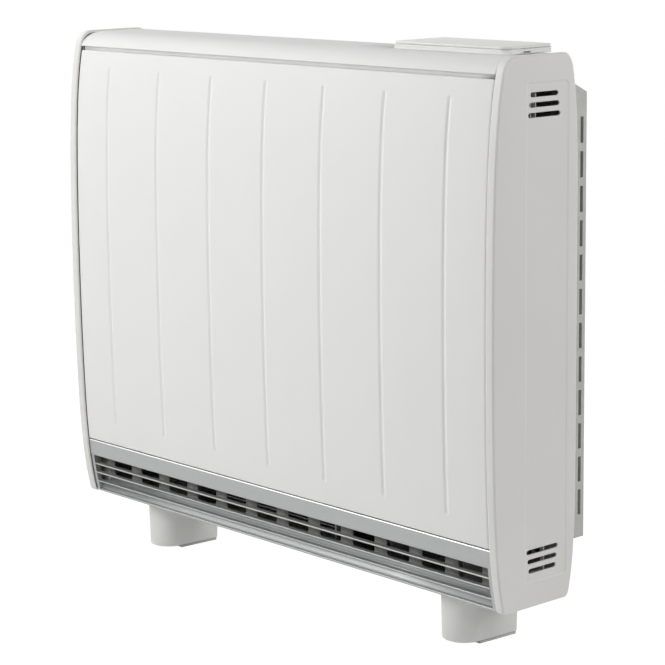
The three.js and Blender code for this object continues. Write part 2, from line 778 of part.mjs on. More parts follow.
function makeInsulation() {
  const slabX = compartmentX;
  const rearSlabY = coreRearY + seat;
  const slabs = {
    insulation_front: block(-insideX, slabX, frontSlabY, coreFrontY - seat, standTop + seat, slabTop),
    insulation_rear: block(-insideX, slabX, rearSlabY, backPanelFace - seat, standTop + seat, slabTop),
    insulation_left: block(leftSlabX - sideInsulation, leftSlabX, coreFrontY, coreRearY,
      standTop + seat, slabTop),
    insulation_top: block(leftSlabX + seat, coreRightX, coreFrontY, coreRearY, coreTop + seat, slabTop),
  };
  const gate = warmAirGate(standTop, coreBottom);
  slabs.insulation_base = cut(block(leftSlabX + seat, coreRightX, coreFrontY, coreRearY,
    standTop + seat, standTop + seat + insulation), gate);
  const bores = elementHeights().map((z) => rodX(elementRadius + slack, rightSlabX - 1,
    compartmentX + 1, elementY(), z));
  slabs.insulation_right = cut(block(rightSlabX, compartmentX, coreFrontY, coreRearY,
    standTop + seat, slabTop), ...bores);
  for (const [name, solid] of Object.entries(slabs)) {
    place(name, solid, boardFibre);
  }
}

function elementY() {
  return (coreFrontY + coreRearY) / 2;
}

// Heights of the straight legs of the heating elements, two to a row of bricks.
function elementHeights() {
  const heights = [];
  for (let row = 0; row < brickRows; row += 1) {
    const middle = coreBottom + row * (brickHeight + seat) + brickHeight / 2;
    heights.push(middle - elementSpread / 2, middle + elementSpread / 2);
  }
  return heights;
}

function makeBricks() {
  const body = block(0, brickWidth, -coreDepth / 2, coreDepth / 2, 0, brickHeight);
  const bores = [-1, 1].map((up) => rodX(elementRadius + slack, -1, brickWidth + 1, 0,
    brickHeight / 2 + (up * elementSpread) / 2));
  const brick = cut(body, ...bores);
  for (let row = 0; row < brickRows; row += 1) {
    for (let column = 0; column < brickColumns; column += 1) {
      const x = coreLeftX + column * (brickWidth + seat);
      const z = coreBottom + row * (brickHeight + seat);
      place(`brick_${row + 1}_${column + 1}`, brick, brickClay, [x, elementY(), z]);
    }
  }
}

function makeElements() {
  const heights = elementHeights();
  const bendX = coreLeftX - slack;
  const endOfTail = compartmentX + elementTail;
  for (let row = 0; row < brickRows; row += 1) {
    const low = heights[row * 2];
    const high = heights[row * 2 + 1];
    const middle = (low + high) / 2;
    const radius = (high - low) / 2;
    const path = new THREE.CurvePath();
    const point = (x, z) => new THREE.Vector3(x, elementY(), z);
    path.add(new THREE.LineCurve3(point(endOfTail, low), point(bendX, low)));
    const bendSteps = 8;
    let last = point(bendX, low);
    for (let i = 1; i <= bendSteps; i += 1) {
      const angle = (Math.PI * i) / bendSteps;
      const squeeze = (bendRoom - elementRadius - 2 * slack) / radius;
      const next = point(bendX - Math.sin(angle) * radius * squeeze,
        middle - Math.cos(angle) * radius);
      path.add(new THREE.LineCurve3(last, next));
      last = next;
    }
    path.add(new THREE.LineCurve3(last, point(endOfTail, high)));
    place(`heating_element_${row + 1}`, sweptRod(path, elementRadius), elementSteel);
  }
}

// A rod of round section through the corner points of a path in an XZ plane.
function sweptRod(path, radius) {
  const corners = [path.curves[0].v1, ...path.curves.map((line) => line.v2)];
  const sides = roundSides;
  const positions = [];
  const index = [];
  corners.forEach((corner, i) => {
    const before = corners[Math.max(i - 1, 0)];
    const after = corners[Math.min(i + 1, corners.length - 1)];
    const ahead = after.clone().sub(before).normalize();
    const across = new THREE.Vector3(0, 1, 0);
    const up = new THREE.Vector3().crossVectors(ahead, across);
    for (let s = 0; s < sides; s += 1) {
      const angle = (2 * Math.PI * s) / sides;
      const offset = across.clone().multiplyScalar(Math.cos(angle) * radius)
        .add(up.clone().multiplyScalar(Math.sin(angle) * radius));
      positions.push(...corner.clone().add(offset).toArray());
    }
  });
  for (let i = 0; i < corners.length - 1; i += 1) {
    for (let s = 0; s < sides; s += 1) {
      const a = i * sides + s;
      const b = i * sides + ((s + 1) % sides);
      index.push(a, b, a + sides, b, b + sides, a + sides);
    }
  }
  const lastRing = (corners.length - 1) * sides;
  for (let s = 1; s < sides - 1; s += 1) {
    index.push(0, s + 1, s);
    index.push(lastRing, lastRing + s, lastRing + s + 1);
  }
  const geometry = new THREE.BufferGeometry();
  geometry.setAttribute('position', new THREE.Float32BufferAttribute(positions, 3));
  geometry.setIndex(index);
  return toSolid(geometry);
}

// ---- fan and damper -----------------------------------------------------------------

function makeFan() {
  const x0 = fanCentreX - fanLength / 2;
  const x1 = fanCentreX + fanLength / 2;
  const innerRadius = fanRadius + fanTipGap;
  const shell = new THREE.Shape();
  const startAngle = Math.PI * 0.25;
  const stopAngle = -Math.PI * 0.5;
  shell.absarc(fanCentreY, fanZ, innerRadius + sheet, startAngle, stopAngle, true);
  shell.absarc(fanCentreY, fanZ, innerRadius, stopAngle, startAngle, false);
  const scroll = alongX(shell, x0, x1, { curveSegments: 12 });
  const ductY = fanCentreY - fanDuct - fanRadius;
  const ductFloor = block(x0, x1, ductY, fanCentreY, fanZ - innerRadius - sheet, fanZ - innerRadius);
  const ends = [x0 - fanEndSheet, x1].map((x) => {
    const plate = block(x, x + fanEndSheet, ductY, fanCentreY + innerRadius + sheet,
      trayTop + seat, fanZ + innerRadius);
    return cut(plate, rodX(bearingRadius + seat, x - 1, x + fanEndSheet + 1, fanCentreY, fanZ));
  });
  place('fan_housing', join(scroll, ductFloor, ...ends), zincSheet);
  makeRotor(x0 + slack, x1 - slack, x0 - fanEndSheet - seat, x1 + fanEndSheet + seat);
  const bearing = cut(
    join(rodX(bearingRadius, x0 - fanEndSheet - seat, x0 - slack, fanCentreY, fanZ),
      rodX(bearingRadius + bearingFlange, x0 - fanEndSheet - bearingFlange, x0 - fanEndSheet - seat,
        fanCentreY, fanZ)),
    rodX(fanShaftRadius + running, x0 - fanEndSheet - 2 * bearingFlange, x0 + 1, fanCentreY, fanZ),
  );
  place('fan_bearing', bearing, brass);
  const motorX = x1 + fanEndSheet + seat;
  const motor = cut(
    join(rodX(motorRadius, motorX, motorX + motorLength, fanCentreY, fanZ, 24),
      rodX(bearingRadius, x1 + slack, motorX + 1, fanCentreY, fanZ)),
    rodX(fanShaftRadius + running, x1 - 1, motorX + motorLength / 2, fanCentreY, fanZ),
  );
  place('fan_motor', motor, blackPlastic);
}

function makeRotor(x0, x1, bearingX, motorX) {
  const shaft = rodX(fanShaftRadius, bearingX - shaftEnd, motorX + motorLength / 2 - shaftEnd, 0,
    0);
  const discs = [x0 + slack, (x0 + x1) / 2, x1 - slack - fanDisc].map(
    (x) => rodX(fanRadius, x, x + fanDisc, 0, 0, 28),
  );
  const blades = [];
  for (let i = 0; i < fanBlades; i += 1) {
    const geometry = new THREE.BoxGeometry(x1 - x0 - 2 * slack - fanDisc, fanBladeDepth, sheet);
    geometry.rotateX(Math.PI / 5);
    geometry.translate((x0 + x1) / 2, 0, fanRadius - fanBladeDepth / 2);
    geometry.rotateX((2 * Math.PI * i) / fanBlades);
    blades.push(toSolid(geometry));
  }
  place('fan_rotor', join(shaft, ...discs, ...blades), silverPaint, [0, fanCentreY, fanZ]);
}

function makeDamper() {
  const x0 = fanCentreX - flapLength / 2;
  const x1 = fanCentreX + flapLength / 2;
  const pin = rodX(flapPinRadius, x0 - slack - earSheet, x1 + slack + earSheet, 0, 0);
  const plate = block(x0, x1, -flapReach, 0, flapPinRadius - flapSheet, flapPinRadius);
  place('damper_flap', join(pin, plate), zincSheet, [0, flapPinY, flapPinZ]);
  const bodyX = x1 + slack + earSheet + slack;
  const standUnderside = standTop - standSheet - seat;
  const body = join(
    block(bodyX, bodyX + actuatorLength, flapPinY - actuatorWidth / 2,
      flapPinY + actuatorWidth / 2, standUnderside - actuatorHeight, standUnderside),
    rodX(flapPinRadius * 2, bodyX + actuatorLength / 2, bodyX + actuatorLength + plungerLength,
      flapPinY, standUnderside - actuatorHeight / 2),
  );
  place('damper_actuator', body, blackPlastic);
}

// ---- control pod --------------------------------------------------------------------

function buttonPlaces() {
  const firstX = podLeftX + windowFromEnd + windowLength + buttonPitch;
  const names = ['mode', 'down', 'up', 'clock', 'boost'];
  return names.map((name, i) => [`button_${name}`, firstX + i * buttonPitch]);
}

function podMiddleY() {
  return (podFrontY + podRearY) / 2;
}

function makeControlHousing() {
  const outer = upwards(roundedRect(podLeftX, podRightX, podFrontY, podRearY, podRound,
    podRearRound, podLeftRound), podBottom, podTop);
  const pocket = upwards(roundedRect(podLeftX + podWall, podRightX - podWall, podFrontY + podWall,
    podRearY - podWall, podRound - podWall, podRearRound - podWall, podLeftRound - podWall),
    deckTop, podTop + 1);
  const [sx0, sx1, sy0, sy1] = podOpening(-seat);
  const skirt = block(sx0, sx1, sy0, sy1, skirtBottom, podBottom + 1);
  const inside = block(sx0 + podWall, sx1 - podWall, sy0 + podWall, sy1 - podWall,
    boardTop - boardSheet - seat, deckUnderside);
  const under = block(sx0 + 2 * podWall, sx1 - 2 * podWall, sy0 + 2 * podWall, sy1 - 2 * podWall,
    skirtBottom - 1, boardTop);
  const windowX = podLeftX + windowFromEnd;
  const y = podMiddleY();
  const windowHole = block(windowX - seat, windowX + windowLength + seat,
    y - windowWidth / 2 - seat, y + windowWidth / 2 + seat, deckUnderside - 1, deckTop + 1);
  const buttonHoles = buttonPlaces().map(([, x]) => rodZ(buttonRadius + slack, deckUnderside - 1,
    deckTop + 1, x, y));
  const ears = hingeEars();
  const body = cut(join(outer, skirt), pocket, inside, under, windowHole, ...buttonHoles);
  place('control_housing', join(body, ...ears), whitePlastic);
}

function hingeEars() {
  return [podLeftX + hingeFromEnd, podRightX - hingeFromEnd - hingeEarWidth].map((x) => {
    const barrel = rodX(hingeBarrel, x, x + hingeEarWidth, hingeY, hingeZ, 12);
    const root = block(x, x + hingeEarWidth, podRearY - podWall / 2, hingeY, podBottom,
      hingeZ + hingeBarrel);
    const bore = rodX(hingePinRadius + running, x - 1, x + hingeEarWidth + 1, hingeY, hingeZ, 12);
    return cut(join(barrel, root), bore);
  });
}

function makeLid() {
  const plate = upwards(roundedRect(podLeftX + lidFromLeft, podRightX + lidOverhang,
    podFrontY - lidOverhang, podRearY + lidRear, lidRound, lidRound, lidLeftRound), 0, lidSheet);
  const axisZ = -hingeBelowLid;
  const inner = hingeFromEnd + hingeEarWidth + slack;
  const knuckles = [podLeftX + inner, podRightX - inner - hingeKnuckle].map((x) => join(
    rodX(hingeBarrel, x, x + hingeKnuckle, hingeY, axisZ, 12),
    block(x, x + hingeKnuckle, hingeY - hingeWeb, hingeY + hingeWeb, axisZ, lidSheet / 2),
  ));
  const bore = rodX(hingePinRadius + running, podLeftX, podRightX, hingeY, axisZ, 12);
  place('control_lid', cut(join(plate, ...knuckles), bore), whitePlastic, [0, 0, lidUnderside]);
  const pin = rodX(hingePinRadius, podLeftX + hingeFromEnd - 1, podRightX - hingeFromEnd + 1,
    hingeY, hingeZ, 12);
  place('lid_hinge_pin', pin, zincSheet);
}

function makeControls() {
  const y = podMiddleY();
  const windowX = podLeftX + windowFromEnd;
  place('display_window', block(windowX, windowX + windowLength, y - windowWidth / 2,
    y + windowWidth / 2, deckTop - windowSheet, deckTop), smokedWindow);
  const stemBottom = boardTop + switchHeight + buttonTravel + slack;
  const flangeTop = deckUnderside - slack;
  const switches = [];
  for (const [name, x] of buttonPlaces()) {
    const cap = rodZ(buttonRadius, flangeTop - 1, deckTop + buttonRise, 0, 0);
    const flange = rodZ(buttonRadius + buttonShoulder, flangeTop - buttonFlange, flangeTop, 0, 0);
    const stem = rodZ(buttonStemRadius, stemBottom, flangeTop - buttonFlange / 2, 0, 0, 10);
    place(name, join(cap, flange, stem), whitePlastic, [x, y, 0]);
    switches.push(block(x - switchSize / 2, x + switchSize / 2, y - switchSize / 2,
      y + switchSize / 2, boardTop - boardSheet / 2, boardTop + switchHeight));
  }
  const [sx0, sx1, sy0, sy1] = podOpening(-seat);
  const edge = podWall + seat;
  const board = block(sx0 + edge, sx1 - edge, sy0 + edge, sy1 - edge, boardTop - boardSheet, boardTop);
  const display = block(windowX + displayInset, windowX + windowLength - displayInset,
    y - windowWidth / 2 + displayInset, y + windowWidth / 2 - displayInset,
    boardTop - boardSheet / 2, deckTop - windowSheet - seat);
  place('control_board', join(board, display, ...switches), greenBoard);
}

// ---- wiring compartment -------------------------------------------------------------

function makeWiring() {
  const cutoutX = compartmentX + seat;
  const y = elementY();
  const cutoutEnd = cutoutX + cutoutLength;
  const resetBase = cutoutX + cutoutFloor;
  const cup = cut(
    rodX(cutoutRadius, cutoutX, cutoutEnd, y, cutoutZ),
    rodX(resetRadius + slack, resetBase, cutoutEnd + 1, y, cutoutZ),
  );
  place('thermal_cutout', cup, blackPlastic);
  const stem = rodX(resetRadius, resetBase + resetTravel + slack,
    cutoutEnd + resetTravel + resetProud, 0, 0);
  place('reset_button', stem, redPlastic, [0, y, cutoutZ]);
  const terminals = block(terminalX - terminalWidth / 2, terminalX + terminalWidth / 2,
    y - terminalLength / 2, y + terminalLength / 2, trayTop + seat, trayTop + seat + terminalHeight);
  const wells = [-1, 0, 1].map((i) => rodZ(terminalWell, trayTop + terminalHeight / 2,
    trayTop + terminalHeight + 1, terminalX, y + (i * terminalLength) / 3, 10));
  place('terminal_block', cut(terminals, ...wells), whitePlastic);
  const nearY = backPanelFace - seat;
  const farY = backPanelRear + seat;
  const gland = cut(
    join(rodY(glandNeck - seat, nearY - glandLip / 2, farY + glandLip / 2, glandX, glandZ),
      rodY(glandRadius, farY, farY + glandLip, glandX, glandZ),
      rodY(glandRadius, nearY - glandLip, nearY, glandX, glandZ)),
    rodY(glandBore, nearY - glandLip - 1, farY + glandLip + 1, glandX, glandZ),
  );
  place('cable_gland', gland, blackPlastic);
  const sensorX = plateOuterX + seat;
  const sensorZ = middleZ - slotFromMiddle;
  const sensorY = frontY + slotBack - slotLength / 2;
  place('room_sensor', block(sensorX, sensorX + sensorDepth, sensorY - sensorWidth / 2,
    sensorY + sensorWidth / 2, sensorZ - sensorHeight / 2, sensorZ + sensorHeight / 2), silverPaint);
}

makeEndCaps();
makeFrontPanel();
makeTopCover();
makeSidePlates();
makeBackPanel();
makeBaseTray();
makeGrille();
makeScreen();
makeScreenLedge();
makeDeflector();
makeFeet();
makeSpacers();
makeWallRail();
makeStand();
makeInsulation();
makeBricks();
makeElements();
makeFan();
makeDamper();
makeControlHousing();
makeLid();
makeControls();
makeWiring();

export default heater;
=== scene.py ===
import math

import bmesh
import bpy
from mathutils import Matrix, Vector


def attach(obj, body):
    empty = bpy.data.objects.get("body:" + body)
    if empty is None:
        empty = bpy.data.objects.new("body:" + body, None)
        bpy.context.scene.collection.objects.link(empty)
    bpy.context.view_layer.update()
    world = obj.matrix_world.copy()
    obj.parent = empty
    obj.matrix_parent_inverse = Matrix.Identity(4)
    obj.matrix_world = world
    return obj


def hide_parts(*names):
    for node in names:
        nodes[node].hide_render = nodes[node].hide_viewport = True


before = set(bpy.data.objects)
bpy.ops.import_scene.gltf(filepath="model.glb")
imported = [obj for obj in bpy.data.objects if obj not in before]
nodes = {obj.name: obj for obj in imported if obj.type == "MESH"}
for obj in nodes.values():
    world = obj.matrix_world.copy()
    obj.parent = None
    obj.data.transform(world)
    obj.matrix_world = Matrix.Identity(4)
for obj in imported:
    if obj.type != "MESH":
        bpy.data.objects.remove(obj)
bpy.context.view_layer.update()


# ---- Camera -------------------------------------------------------------------------
# A long lens at about waist height looks slightly down at the heater from beyond
# its right-hand front corner.
lens_length, sensor_size, lens_shift, far_clip = 124.71, 36.0, -0.0013, 50
camera_place = Vector((2.2118, -1.9401, 0.90662))
turned, tipped, rolled = 0.841679, 0.189427, -0.012527
forward = Vector((-math.sin(turned) * math.cos(tipped),
                  math.cos(turned) * math.cos(tipped), -math.sin(tipped)))
level_right = Vector((math.cos(turned), math.sin(turned), 0))
level_up = level_right.cross(forward)
right = level_right * math.cos(rolled) + level_up * math.sin(rolled)
upward = level_up * math.cos(rolled) - level_right * math.sin(rolled)
camera_data = bpy.data.cameras.new("camera")
camera_data.lens = lens_length
camera_data.sensor_width = sensor_size
camera_data.shift_y = lens_shift
camera_data.clip_end = far_clip
camera = bpy.data.objects.new("camera", camera_data)
camera.matrix_world = Matrix.Translation(camera_place) @ Matrix(
    (right, upward, -forward)).transposed().to_4x4()
bpy.context.scene.collection.objects.link(camera)
bpy.context.scene.camera = camera
bpy.context.scene.view_settings.view_transform = "Standard"


# ---- Floor and light ----------------------------------------------------------------
# A matt white paper floor in a white room. The key box stands before the front on its
# left and a small one close and high before it, and wide ones fill the other sides.
floor_white = "F3F3F2"
room_dusk = "3A3A3B"
paper_share, paper_glow, floor_reach = 0.75, 1.28, 1.7


def colour(sheet_value):
    """An sRGB hex value as the linear colour that a shader takes."""
    parts = [int(sheet_value[i:i + 2], 16) / 255 for i in (0, 2, 4)]
    return [c / 12.92 if c <= 0.04045 else ((c + 0.055) / 1.055) ** 2.4 for c in parts] + [1]


def connect(tree, node, links):
    """Gives a node's sockets their links or values."""
    for socket, value in links.items():
        if isinstance(value, bpy.types.NodeSocket):
            tree.links.new(value, node.inputs[socket])
        else:
            node.inputs[socket].default_value = value


def add(tree, kind, links=None, **settings):
    """Adds a node, sets what settings name, and connects its sockets."""
    node = tree.nodes.new(kind)
    for key, value in settings.items():
        setattr(node, key, value)
    connect(tree, node, links or {})
    return node


def seen_directly(tree):
    """1 on a ray from the camera, or one that metal or glass passes on."""
    path = add(tree, "ShaderNodeLightPath")
    mirrored = add(tree, "ShaderNodeMath", {0: path.outputs["Is Camera Ray"],
                   1: path.outputs["Is Glossy Ray"]}, operation="MAXIMUM")
    return add(tree, "ShaderNodeMath", {0: mirrored.outputs[0],
               1: path.outputs["Is Transmission Ray"]}, operation="MAXIMUM").outputs[0]


world = bpy.data.worlds.new("white room")
bpy.context.scene.world = world
world.use_nodes = True
tree = world.node_tree
tree.nodes.clear()
dusk = add(tree, "ShaderNodeBackground", {"Color": colour(room_dusk), "Strength": 1.0})
paper = add(tree, "ShaderNodeBackground", {"Color": (1, 1, 1, 1), "Strength": 1.0})
either = add(tree, "ShaderNodeMixShader", {
    0: seen_directly(tree), 1: dusk.outputs[0], 2: paper.outputs[0]})
add(tree, "ShaderNodeOutputWorld", {"Surface": either.outputs[0]})

# Matt paper: nearly all of it reads white, and the rest carries the soft shadow.
floor_paper = bpy.data.materials.new("matt_white_paper")
floor_paper.use_nodes = True
tree = floor_paper.node_tree
tree.nodes.clear()
lit = add(tree, "ShaderNodeBsdfDiffuse", {"Color": colour(floor_white)})
glow = add(tree, "ShaderNodeEmission", {"Color": (1, 1, 1, 1), "Strength": paper_glow})
shown = add(tree, "ShaderNodeMath", {0: seen_directly(tree), 1: paper_share}, operation="MULTIPLY")
mixed = add(tree, "ShaderNodeMixShader", {
    0: shown.outputs[0], 1: lit.outputs[0], 2: glow.outputs[0]})
add(tree, "ShaderNodeOutputMaterial", {"Surface": mixed.outputs[0]})

floor_mesh = bpy.data.meshes.new("floor")
floor_bm = bmesh.new()
bmesh.ops.create_grid(floor_bm, x_segments=1, y_segments=1, size=floor_reach)
floor_bm.to_mesh(floor_mesh)
floor_bm.free()
floor_mesh.materials.append(floor_paper)
floor = bpy.data.objects.new("floor", floor_mesh)
bpy.context.scene.collection.objects.link(floor)

# Each box's turn round the heater and its rise in degrees, its distance and its width
# in metres, and its watts.
soft_boxes = {
    "key_box": (-33, 27, 2.2, 1.2, 23.5),
    "left_box": (-85, 33, 3.0, 1.6, 24),
    "front_box": (12, 34, 1.4, 0.9, 4.4),
    "low_box": (5, 6, 3.0, 1.6, 1),
    "side_box": (110, 25, 3.0, 1.6, 38),
    "rear_box": (180, 8, 3.0, 1.6, 14),
}
box_aim = Vector((0, 0, 0.45))
for box_name, (turn, rise, box_distance, box_size, watts) in soft_boxes.items():
    lamp = bpy.data.lights.new(box_name, "AREA")
    lamp.size = box_size
    lamp.energy = watts
    stand = bpy.data.objects.new(box_name, lamp)
    turn, rise = math.radians(turn), math.radians(rise)
    away = Vector((math.sin(turn) * math.cos(rise), -math.cos(turn) * math.cos(rise),
                   math.sin(rise)))
    stand.matrix_world = Matrix.Translation(
        box_aim + away * box_distance) @ away.to_track_quat("Z", "Y").to_matrix().to_4x4()
    bpy.context.scene.collection.objects.link(stand)


# ---- End caps -----------------------------------------------------------------------
# Two moulded ABS caps close the ends of the case and show as a soft rim round it.
# Each is a dished shell with a shallow long recess on its face, slotted for air,
# and clips over the side plates.
half_length = 411
cap_rim, cap_wall = 14, 2.6
low_z, high_z = 67, 720
middle_z, half_height = 393.5, 326.5
side_low, side_high = 73, 701
front_y, bow, tuck, lean = -85.5, 8.2, 12, 1.3
rear_y, rear_tuck = 57.5, 13
front_turn, rear_turn, foot_turn = 19, 9.5, 6
side_steps, top_steps, foot_steps = 40, 10, 6
edge_round, crown = 3.0, 0.5
rim_lead = [(0.1, 2.2), (0.3, 1.6), (0.7, 1.0), (1.2, 0.55), (1.8, 0.22), (2.5, 0.05), (3.2, 0)]
recess = (-32.5, 40.5, 97, 690)
recess_corner, recess_drop, recess_slope = 8, 1.0, 3.0
slot_rise, slot_pitch, slot_long, slot_taper = 258, 11.7, 53.5, 3.4
slot_middle_y, slot_height, slot_ease = -1, 5.6, 0.7
slot_places = [(middle_z + way * (slot_rise + slot_pitch * i), slot_long - slot_taper * i)
               for way in (-1, 1) for i in range(3)]
rib_places = {1: (-19.4, -11.2), -1: (6.0,)}
rib_half, rib_deep, rib_reach, rib_set = 0.45, 8.0, 18, 2.5


def front_at(z):
    """How far forward the bowed front of the case stands at a height."""
    t = (z - middle_z) / half_height
    return front_y + bow * t ** 2 + tuck * t ** 6 + lean * t ** 3


def rear_at(z):
    """The rear of the end caps, drawn in at the top and bottom."""
    return rear_y - rear_tuck * abs((z - middle_z) / half_height) ** 7


def corner(start, bend, end, steps):
    """Points of a soft corner, from its start up to the one before its end."""
    row = []
    for i in range(steps):
        t = i / steps
        row.append(tuple(a * (1 - t) ** 2 + 2 * b * t * (1 - t) + c * t ** 2
                         for a, b, c in zip(start, bend, end)))
    return row


def straight(start, end, steps):
    """Points along a line, up to the one before its end."""
    return [tuple(a + (b - a) * i / steps for a, b in zip(start, end)) for i in range(steps)]


def cap_outline(inset):
    """The closed side view of the case, as (y, z), from the front's foot up and round."""
    top, foot = high_z - inset, low_z + inset
    rise = [side_low + (side_high - side_low) * i / side_steps for i in range(side_steps)]
    front_low, front_high = front_at(side_low) + inset, front_at(side_high) + inset
    front_foot, front_top = front_at(low_z) + inset, front_at(high_z) + inset
    rear_low, rear_high = rear_at(side_low) - inset, rear_at(side_high) - inset
    rear_foot, rear_top = rear_at(low_z) - inset, rear_at(high_z) - inset
    front_flat, rear_flat = (front_top + front_turn, top), (rear_top - rear_turn, top)
    front_sole, rear_sole = (front_foot + foot_turn, foot), (rear_foot - foot_turn, foot)
    row = [(front_at(z) + inset, z) for z in rise]
    row += corner((front_high, side_high), (front_top, top), front_flat, top_steps)
    row += straight(front_flat, rear_flat, top_steps)
    row += corner(rear_flat, (rear_top, top), (rear_high, side_high), top_steps)
    row += [(rear_at(z) - inset, z) for z in [side_high + side_low - z for z in rise]]
    row += corner((rear_low, side_low), (rear_foot, foot), rear_sole, foot_steps)
    row += straight(rear_sole, front_sole, top_steps)
    row += corner(front_sole, (front_foot, foot), (front_low, side_low), foot_steps)
    return row


def recess_outline(inset):
    """The recess's closed edge, with its points matched one for one to the cap's outline."""
    y0, y1, z0, z1 = recess[0] + inset, recess[1] - inset, recess[2] + inset, recess[3] - inset
    r = recess_corner - inset
    row = straight((y0, z0 + r), (y0, z1 - r), side_steps)
    row += corner((y0, z1 - r), (y0, z1), (y0 + r, z1), top_steps)
    row += straight((y0 + r, z1), (y1 - r, z1), top_steps)
    row += corner((y1 - r, z1), (y1, z1), (y1, z1 - r), top_steps)
    row += straight((y1, z1 - r), (y1, z0 + r), side_steps)
    row += corner((y1, z0 + r), (y1, z0), (y1 - r, z0), foot_steps)
    row += straight((y1 - r, z0), (y0 + r, z0), top_steps)
    row += corner((y0 + r, z0), (y0, z0), (y0, z0 + r), foot_steps)
    return row


def slot_outline(z, length, grow):
    """A slot with round ends, as (y, z)."""
    radius = slot_height / 2 + grow
    reach = (length - slot_height) / 2
    row = []
    for end in (1, -1):
        for i in range(9):
            a = math.radians(-90 + 22.5 * i)
            row.append((slot_middle_y + end * (reach + radius * math.cos(a)),
                        z + end * radius * math.sin(a)))
    return row


def skin(bm, rings, closed=True):
    """Draws the first row of points and extrudes it through the others. Returns both ends."""
    count = len(rings[0])
    verts = bmesh.ops.create_circle(bm, segments=count, radius=1)["verts"]
    edges = [bm.edges.get((verts[i], verts[(i + 1) % count])) for i in range(count)]
    if not closed:
        bmesh.ops.delete(bm, geom=[edges.pop()], context="EDGES")
    for vert, point in zip(verts, rings[0]):
        vert.co = point
    first = verts
    for points in rings[1:]:
        made = bmesh.ops.extrude_edge_only(bm, edges=edges)["geom"]
        new = {v for v in made if isinstance(v, bmesh.types.BMVert)}
        verts = [next(e.other_vert(v) for e in v.link_edges if e.other_vert(v) in new)
                 for v in verts]
        edges = [bm.edges.get((verts[i], verts[(i + 1) % count])) for i in range(len(edges))]
        for vert, point in zip(verts, points):
            vert.co = point
    return first, verts


def solid(bm, rings):
    """Extrudes a row of points through the others and closes both ends."""
    for end in skin(bm, rings):
        bmesh.ops.contextual_create(bm, geom=end)


def between(bm, rows, facing):
    """Fills the flat face that lies inside the first row and outside the others."""
    edges = [bm.edges.get((row[i], row[(i + 1) % len(row)]))
             for row in rows for i in range(len(row))]
    bmesh.ops.triangle_fill(bm, use_beauty=True, edges=edges, normal=facing)


def finished(bm, name, material, facing=None, sharp=40):
    """Turns millimetres into a smooth-shaded piece in metres, with its faces outwards."""
    bmesh.ops.remove_doubles(bm, verts=bm.verts, dist=0.002)
    bmesh.ops.recalc_face_normals(bm, faces=bm.faces)
    if facing and sum((f.normal.dot(facing) * f.calc_area() for f in bm.faces)) < 0:
        bmesh.ops.reverse_faces(bm, faces=bm.faces)
    bmesh.ops.scale(bm, vec=(0.001, 0.001, 0.001), verts=bm.verts)
    mesh = bpy.data.meshes.new(name)
    bm.to_mesh(mesh)
    bm.free()
    mesh.shade_smooth()
    mesh.set_sharp_from_angle(angle=math.radians(sharp))
    mesh.materials.append(material)
    piece = bpy.data.objects.new(name, mesh)
    bpy.context.scene.collection.objects.link(piece)
    return piece


def modify(piece, kind, **settings):
    modifier = piece.modifiers.new(kind.lower(), kind)
    for key, value in settings.items():
        setattr(modifier, key, value)


def surface(name, base, roughness, metallic=0.0, ior=1.5):
    """A material with one main shader. Returns it, its tree, the shader and the place read."""
    material = bpy.data.materials.new(name)
    material.use_nodes = True
    tree = material.node_tree
    tree.nodes.clear()
    shader = add(tree, "ShaderNodeBsdfPrincipled", {
        "Base Color": colour(base), "Roughness": roughness, "Metallic": metallic, "IOR": ior})
    add(tree, "ShaderNodeOutputMaterial", {"Surface": shader.outputs[0]})
    return material, tree, shader, add(tree, "ShaderNodeTexCoord").outputs["Object"]


# Moulded ABS: a satin face with the mould's fine spark grain, about 0.5 mm, drawn at
# 1.2 mm so that it shows, and a warm white that is a shade greyer in its broad clouds.
abs_white, abs_shade = "ECEBE8", "E7E6E3"
moulded_abs, tree, shader, place = surface("moulded_abs", abs_white, 0.5, ior=1.54)
cloud = add(tree, "ShaderNodeTexNoise", {"Vector": place, "Scale": 9.0, "Detail": 2.0})
tint = add(tree, "ShaderNodeMix", {
    0: cloud.outputs["Fac"], 6: colour(abs_white), 7: colour(abs_shade)}, data_type="RGBA")
grain = add(tree, "ShaderNodeTexNoise", {"Vector": place, "Scale": 830.0, "Detail": 3.0})
raised = add(tree, "ShaderNodeBump", {
    "Height": grain.outputs["Fac"], "Strength": 0.12, "Distance": 0.0002})
dulled = add(tree, "ShaderNodeMapRange", {
    "Value": cloud.outputs["Fac"], "To Min": 0.46, "To Max": 0.54})
connect(tree, shader, {
    "Base Color": tint.outputs[2], "Roughness": dulled.outputs[0], "Normal": raised.outputs[0]})

